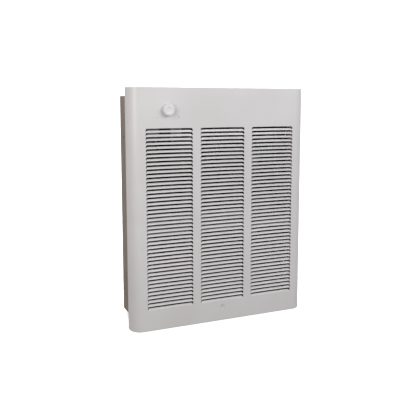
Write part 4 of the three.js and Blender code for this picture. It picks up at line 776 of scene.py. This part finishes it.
def makeWallBox():
    low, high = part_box("wall_box")
    bm = bmesh.new()
    for vert in bmesh.ops.create_cube(bm, size=1)["verts"]:
        vert.co = Vector([a if c < 0 else b for a, b, c in zip(low, high, vert.co)])
    bmesh.ops.bevel(bm, geom=bm.edges[:], offset=wallBox["fold"] * mm, offset_type="OFFSET",
                    segments=wallBox["foldSteps"], profile=0.5, affect="EDGES")
    bm.normal_update()
    panels = sorted(bm.faces, key=lambda face: -face.calc_area())[:6]
    outlines = [(face.normal.copy(), list(face.verts)) for face in panels]
    bmesh.ops.delete(bm, geom=panels, context="FACES_ONLY")
    screwX, screwZ = [abs(value) for value in centreOf("chassis_screw_4")]
    knockoutXs = [low.x + (wallBox["knockoutFirst"] + i * wallBox["knockoutPitch"]) * mm for i in (0, 1)]
    boss, knockout, weld = wallBox["boss"], wallBox["knockout"], wallBox["weld"]
    for normal, outline in outlines:
        loops = [outline]

        def press(centre, profile, closed, normal=normal):
            axis = max(range(3), key=lambda k: abs(normal[k]))

            def place(u, v, depth):
                point = [u, v]
                point.insert(axis, high[axis] - depth if normal[axis] > 0 else low[axis] + depth)
                return point

            return pressing(bm, place, centre, profile, wallBox["sides"], closed)

        if normal.y > 0.5:  # the back: four bosses for the chassis screws and two knockouts
            loops += [press((x, z), boss, False) for x in (-screwX, screwX) for z in (-screwZ, screwZ)]
            loops += [press((x, low.z + wallBox["knockoutFirst"] * mm), knockout, True) for x in knockoutXs]
        elif normal.y < -0.5:  # the rim: the mouth and two slots for the cover's hooks
            rim = wallBox["rim"] * mm
            loops.append(cornered(bm, low.x + rim, high.x - rim, low.z + rim, high.z - rim, low.y))
            slotWide, slotHigh = [value * mm / 2 for value in wallBox["hookSlot"]]
            slotTop = high.z - wallBox["hookSlotTop"] * mm
            for x in (-cover["hookX"] * mm, cover["hookX"] * mm):
                loops.append(cornered(bm, x - slotWide, x + slotWide, slotTop - 2 * slotHigh, slotTop, low.y))
        elif abs(normal.z) > 0.5:  # top and bottom: two knockouts, and the corner tabs' spot welds
            loops += [press((x, (low.y + high.y) / 2), knockout, True) for x in knockoutXs]
            setbacks = [(wallBox["weldSetback"] + i * wallBox["weldPitch"]) * mm for i in range(wallBox["welds"])]
            for x in (low.x + wallBox["weldInset"] * mm, high.x - wallBox["weldInset"] * mm):
                loops += [press((x, high.y - setback), weld, True) for setback in setbacks]
        else:  # the sides: nail holes
            nailZ = high.z - wallBox["nailInset"] * mm
            for setback in wallBox["nailSetbacks"]:
                loops += [press((high.y - setback * mm, z), [(wallBox["nailHole"] / 2, 0)], False)
                          for z in (-nailZ, nailZ)]
        fillPanel(bm, loops)
    outward(bm)
    tray = thicken(newObject("wallBox", bm), wallBox["sheet"] * mm)
    fit(shade(tray, 38), "box_paint", "cabinet", "wall_box")


def cornered(bm, lowX, highX, lowZ, highZ, y):  # a punched opening with its corners eased
    ease = wallBox["ease"] * mm
    points = []
    for x, z, start in ((highX, highZ, 0), (lowX, highZ, 90), (lowX, lowZ, 180), (highX, lowZ, 270)):
        centreX = x - ease if x == highX else x + ease
        centreZ = z - ease if z == highZ else z + ease
        points += arc(centreX, centreZ, ease, start, start + 90, wallBox["easeSteps"])
    return [bm.verts.new((x, y, z)) for x, z in points]


def copiesAt():  # a tree that sets one copy of a piece on each point of the mesh that it is run on
    tree, given = startTree("copiesAt", {"Piece": "Object", "Material": "Material"})
    piece = addNode(tree, "GeometryNodeObjectInfo", {"Object": given["Piece"]})
    copies = addNode(tree, "GeometryNodeInstanceOnPoints", {
        "Points": given["Geometry"], "Instance": piece.outputs["Geometry"]})
    return endTree(tree, copies.outputs[0], given["Material"])


def copiesAround():  # a tree that sets copies of a piece round an axis along Y
    tree, given = startTree("copiesAround", {
        "Piece": "Object", "Count": "Int", "Centre": "Vector", "First Angle": "Float", "Material": "Material"})
    points = addNode(tree, "GeometryNodeMeshLine", {
        "Count": given["Count"], "Start Location": given["Centre"], "Offset": (0, 0, 0)})
    index = addNode(tree, "GeometryNodeInputIndex")
    step = addNode(tree, "ShaderNodeMath", {0: 2 * math.pi, 1: given["Count"]}, operation="DIVIDE")
    angle = addNode(tree, "ShaderNodeMath", {0: index, 1: step, 2: given["First Angle"]}, operation="MULTIPLY_ADD")
    turn = addNode(tree, "ShaderNodeCombineXYZ", {"Y": angle})
    piece = addNode(tree, "GeometryNodeObjectInfo", {"Object": given["Piece"]})
    copies = addNode(tree, "GeometryNodeInstanceOnPoints", {
        "Points": points, "Instance": piece.outputs["Geometry"], "Rotation": turn})
    joined = addNode(tree, "GeometryNodeJoinGeometry")
    tree.links.new(given["Geometry"], joined.inputs[0])
    tree.links.new(copies.outputs[0], joined.inputs[0])
    return endTree(tree, joined.outputs[0], given["Material"])


screws = {  # mm: head radius, head height, shank radius, length under the head, thread pitch
    "cover_screw": (2.8, 1.5, 1.95, 12.0, 0.8), "chassis_screw": (4.2, 2.5, 2.1, 5.6, 1.4),
    "divider_screw": (4.0, 2.4, 2.0, 8.0, 1.4), "strap_screw": (3.6, 2.4, 2.0, 8.0, 1.4),
    "recess": 0.55, "recessReach": 1.9, "recessDepth": 1.1, "recessShare": 0.62, "recessTaper": 0.72,
    "dome": ((0.45, 0.95), (0.78, 0.72), (0.95, 0.4)), "underside": 0.97, "edge": 0.1,  # shares of radius and height
    "sides": 24, "threadStart": 0.2, "root": 0.78, "rootAt": (0.35, 0.65),  # root: shares of the shank and the pitch
}


def screwBlank(kind):  # a domed head with a cross recess over a threaded shank, its seat at y = 0
    head, height, shank, length, pitch = [value * mm for value in screws[kind]]
    profile = [(0, -height)] + [(head * out, -height * up) for out, up in screws["dome"]]
    profile += [(head, -screws["edge"] * mm), (head * screws["underside"], 0), (shank, 0)]
    root = shank * screws["root"]
    for i in range(int((length - shank) / pitch)):
        start = screws["threadStart"] * mm + i * pitch
        profile += [(shank, start)] + [(root, start + pitch * share) for share in screws["rootAt"]]
    profile += [(shank, length - shank), (0, length)]
    bm = bmesh.new()
    lathe(bm, profile, (0, 0), screws["sides"])
    blank = newObject(kind + "Blank", bm)
    reach, half, depth = screws["recessReach"] * mm, screws["recess"] * mm / 2, screws["recessDepth"] * mm
    reach = min(reach, head * screws["recessShare"])
    outline = [
        (reach, half), (half, half), (half, reach), (-half, reach), (-half, half), (-reach, half), (-reach, -half),
        (-half, -half), (-half, -reach), (half, -reach), (half, -half), (reach, -half)]
    bm = bmesh.new()
    rings = [[bm.verts.new((u * scale, y, v * scale)) for u, v in outline]
             for y, scale in ((-height - 1 * mm, 1.0), (-height + depth, screws["recessTaper"]))]
    bridge(bm, *rings)
    for ring in rings:
        bm.faces.new(ring)
    outward(bm)
    cutter = newObject(kind + "Recess", bm)
    cut = blank.modifiers.new("recess", "BOOLEAN")
    cut.object = cutter
    cut.solver = "EXACT"
    settle(blank)
    bpy.data.objects.remove(cutter)
    return blank


def makeScrews():
    tree = copiesAt()
    sets = {"cover_screw": ["cover_screw"], "chassis_screw": ["chassis_screw_%d" % i for i in range(1, 5)],
            "divider_screw": ["divider_screw_1", "divider_screw_2"], "strap_screw": ["strap_screw_1", "strap_screw_2"]}
    for kind, names in sets.items():
        height = screws[kind][1] * mm
        bm = bmesh.new()
        for name in names:
            x, z = centreOf(name)
            bm.verts.new((x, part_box(name)[0].y + height, z))
        slot = "cover_enamel" if kind == "cover_screw" else "steel"
        screwSet = newObject(kind + "Set", bm)
        runTree(screwSet, tree, slot, {"Piece": screwBlank(kind)})
        fit(shade(screwSet), slot, "cabinet", *names)


element = {  # mm
    "fins": 58, "finSheet": 0.5, "finEndMargin": 6.0, "legPitch": 40.0, "sheath": 8.0, "fit": 0.05, "corner": 3.0,
    "left": 146.0, "right": 138.0, "bendX": 143.6, "terminalX": 155.0, "bendSteps": 24, "sheathSides": 20,
    "collarSides": 12, "collar": ((0.5, 0), (0.1, 0.3), (0, 1.6)),  # collar: past the bore, depth
}


def makeElement():
    low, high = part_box("heating_element")
    y, z = (low.y + high.y) / 2, (low.z + high.z) / 2
    rise = element["legPitch"] * mm / 2
    bm = bmesh.new()
    half, tall, corner = (high.y - low.y) / 2, (high.z - low.z) / 2, element["corner"] * mm
    outer = [
        (half, tall - corner), (half - corner, tall), (-half + corner, tall), (-half, tall - corner),
        (-half, -tall + corner), (-half + corner, -tall), (half - corner, -tall), (half, -tall + corner)]
    loops = [[bm.verts.new((0, u, v)) for u, v in outer]]
    bore = element["sheath"] / 2 + element["fit"]

    def onFin(u, v, depth):
        return (depth, u, v)

    collar = [(bore + past, depth) for past, depth in element["collar"]]
    loops += [pressing(bm, onFin, (0, leg), collar, element["collarSides"], False) for leg in (-rise, rise)]
    fillPanel(bm, loops)
    outward(bm)
    fin = thicken(newObject("finBlank", bm), element["finSheet"] * mm)
    bm = bmesh.new()
    first, last = -(element["left"] - element["finEndMargin"]) * mm, (element["right"] - element["finEndMargin"]) * mm
    for i in range(element["fins"]):
        bm.verts.new((first + (last - first) * i / (element["fins"] - 1), y, z))
    fins = newObject("heatingElement", bm)
    runTree(fins, copiesAt(), "brazed_fins", {"Piece": fin})
    bm = bmesh.new()
    bm.from_mesh(fins.data)
    start = -element["terminalX"] * mm
    bend = arc(element["bendX"] * mm, z, rise, 90, -90, element["bendSteps"])
    path = [(px, y, pz) for px, pz in [(start, z + rise)] + bend + [(start, z - rise)]]
    sweep(bm, path, circlePoints(element["sheathSides"], element["sheath"] * mm / 2), (0, 1, 0))
    outward(bm)
    bm.to_mesh(fins.data)
    bm.free()
    fit(shade(fins, 38), "brazed_fins", "cabinet", "heating_element")


fanWheel = {  # mm and degrees; each twist, stand-off and tip rounding is a start and a change along the blade
    "diameter": 190.0, "blades": 5, "chord": 62.0, "pitch": 26.0, "sheet": 1.4, "disc": 30.0, "bore": 9.4,
    "discY": -49.5, "along": 16, "across": 14, "overlap": 4.0, "sweepBack": 9.0, "camber": 4.5,
    "chordShares": (0.42, 0.58), "chordWave": (0.25, 0.62, 0.72), "twist": (1.25, 0.45), "seat": 0.4,
    "standOff": (4.5, 2.5), "tipRound": (0.85, 0.12), "sides": 72, "rivetSides": 12,
    "bead": 0.68, "beadHalf": 0.06, "beadDepth": 0.8, "edge": 0.2, "rivetRing": 24.0, "rivet": 2.6,
    "rivetHead": ((0, 1.2), (0.7, 0.9), (1, -0.1), (0, -0.1)),  # share of the rivet's radius, height
}


def makeFan():
    axisX, axisZ = centreOf("fan_hub")
    discY, sheet = fanWheel["discY"] * mm, fanWheel["sheet"] * mm
    root, tip = (fanWheel["disc"] - fanWheel["overlap"]) * mm, fanWheel["diameter"] * mm / 2
    least, rest = fanWheel["chordShares"]  # the chord swells from the root and narrows again at the tip
    rootWave, waveRun, waveShare = fanWheel["chordWave"]
    rootStand, standLoss = fanWheel["standOff"]
    rootTwist, untwist = fanWheel["twist"]
    roundFrom, roundBy = fanWheel["tipRound"]
    bm = bmesh.new()
    grid = []
    for i in range(fanWheel["along"] + 1):
        t = i / fanWheel["along"]
        radius = root + (tip - root) * t
        chord = fanWheel["chord"] * mm * (least + rest * math.sin((rootWave + waveRun * t) * math.pi * waveShare))
        pitch = math.radians(fanWheel["pitch"] * (rootTwist - untwist * t))
        row = []
        for j in range(fanWheel["across"] + 1):
            s = j / fanWheel["across"] - 0.5
            s *= 1 - roundBy * max(0, t - roundFrom) / (1 - roundFrom) * abs(2 * s)  # the tip's corners are rounded
            angle = (s * chord * math.cos(pitch) + fanWheel["sweepBack"] * mm * t * t) / radius
            camber = fanWheel["camber"] * mm * (1 - 4 * s * s)
            y = discY - fanWheel["seat"] * mm + s * chord * math.sin(pitch) - camber
            y += (rootStand - standLoss * t) * mm
            row.append(bm.verts.new((radius * math.cos(angle), y - sheet / 2, radius * math.sin(angle))))
        grid.append(row)
    for a, b in zip(grid, grid[1:]):
        for j in range(fanWheel["across"]):
            bm.faces.new((a[j], a[j + 1], b[j + 1], b[j]))
    outward(bm)
    for vert in bm.verts:
        vert.co.y += sheet / 2 if bm.faces[0].normal.y > 0 else -sheet / 2
    blade = thicken(newObject("bladeBlank", bm), sheet)
    bm = bmesh.new()
    bore, disc, edge = fanWheel["bore"] * mm, fanWheel["disc"] * mm, fanWheel["edge"] * mm
    beads = [disc * (fanWheel["bead"] + side * fanWheel["beadHalf"]) for side in (-1, 0, 1)]
    front = discY - sheet  # a stiffening bead runs round the disc
    near = [(bore, front), (beads[0], front), (beads[1], front - fanWheel["beadDepth"] * mm), (beads[2], front)]
    far = [(radius, y + sheet) for radius, y in reversed(near)]
    rim = [(disc - edge, front), (disc, front + edge), (disc, discY - edge), (disc - edge, discY)]
    lathe(bm, near + rim + far + near[:1], (axisX, axisZ), fanWheel["sides"])
    bmesh.ops.remove_doubles(bm, verts=bm.verts, dist=1e-6)
    outward(bm)
    wheel = newObject("fanWheel", bm)
    tree = copiesAround()
    centre = (axisX, 0.0, axisZ)
    runTree(wheel, tree, "fan_aluminium", {
        "Piece": blade, "Count": fanWheel["blades"], "Centre": centre, "First Angle": 0.0})
    rivet = fanWheel["rivet"] * mm
    bm = bmesh.new()
    head = [(rivet * share, discY + height * mm) for share, height in fanWheel["rivetHead"]]
    lathe(bm, head, (fanWheel["rivetRing"] * mm, 0), fanWheel["rivetSides"])
    rivetBlank = newObject("rivetBlank", bm)
    runTree(wheel, tree, "fan_aluminium", {
        "Piece": rivetBlank, "Count": 2 * fanWheel["blades"], "Centre": centre,
        "First Angle": math.pi / (2 * fanWheel["blades"])})
    fit(shade(wheel), "fan_aluminium", "fan_rotor", "fan")


motor = {  # mm; crown, innerDrop and ribStart are shares of the nose's radius
    "nose": 10.0, "noseSteps": 8, "crown": ((1.6, 0), (1.1, 0.03)), "wall": 2.0, "rim": (0.3, 0.4), "bore": 9.0,
    "innerDrop": 0.4, "sides": 72, "ribs": 24, "ribHeight": 2.4, "ribWidth": 1.6, "ribSink": 0.5, "ribStart": 1.2,
    "ribSetback": 1.0, "ribTaper": 0.6,
}


def makeMotor():
    low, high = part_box("motor_housing")
    axis = centreOf("fan_hub")
    radius = (high.x - low.x) / 2 - motor["ribHeight"] * mm
    front, back = low.y, high.y
    nose, wall = motor["nose"] * mm, motor["wall"] * mm
    rimWide, rimHigh = [value * mm for value in motor["rim"]]
    profile = [(0, front)] + [(radius - nose * inwards, front + nose * drop) for inwards, drop in motor["crown"]]
    profile += arc(radius - nose, front + nose, nose, -90, 0, motor["noseSteps"])[1:]
    profile += [
        (radius, back - rimHigh), (radius - rimWide, back), (radius - wall, back),
        (radius - wall, front + nose), (radius - 2 * wall, front + nose * motor["innerDrop"]),
        (motor["bore"] * mm, front + wall), (0, front + wall)]
    bm = bmesh.new()
    lathe(bm, profile, axis, motor["sides"])
    cup = newObject("motorHousing", bm)
    bm = bmesh.new()
    for vert in bmesh.ops.create_cube(bm, size=1)["verts"]:
        outer = vert.co.x > 0
        x = radius + (motor["ribHeight"] if outer else -motor["ribSink"]) * mm
        start = front + (motor["ribStart"] * nose if outer else nose)
        y = start if vert.co.y < 0 else back - motor["ribSetback"] * mm
        taper = motor["ribTaper"] if outer else 1.0
        vert.co = Vector((x, y, math.copysign(motor["ribWidth"] * mm / 2 * taper, vert.co.z)))
    outward(bm)
    rib = newObject("ribBlank", bm)
    runTree(cup, copiesAround(), "black_paint", {
        "Piece": rib, "Count": motor["ribs"], "Centre": (axis[0], 0.0, axis[1]),
        "First Angle": math.pi / motor["ribs"]})
    fit(shade(cup), "black_paint", "cabinet", "motor_housing")


makeKnob()
makeMarks()
makeWallBox()
print("knob, marks and wall box made")
makeScrews()
makeElement()
makeFan()
makeMotor()
print("inner pieces made")
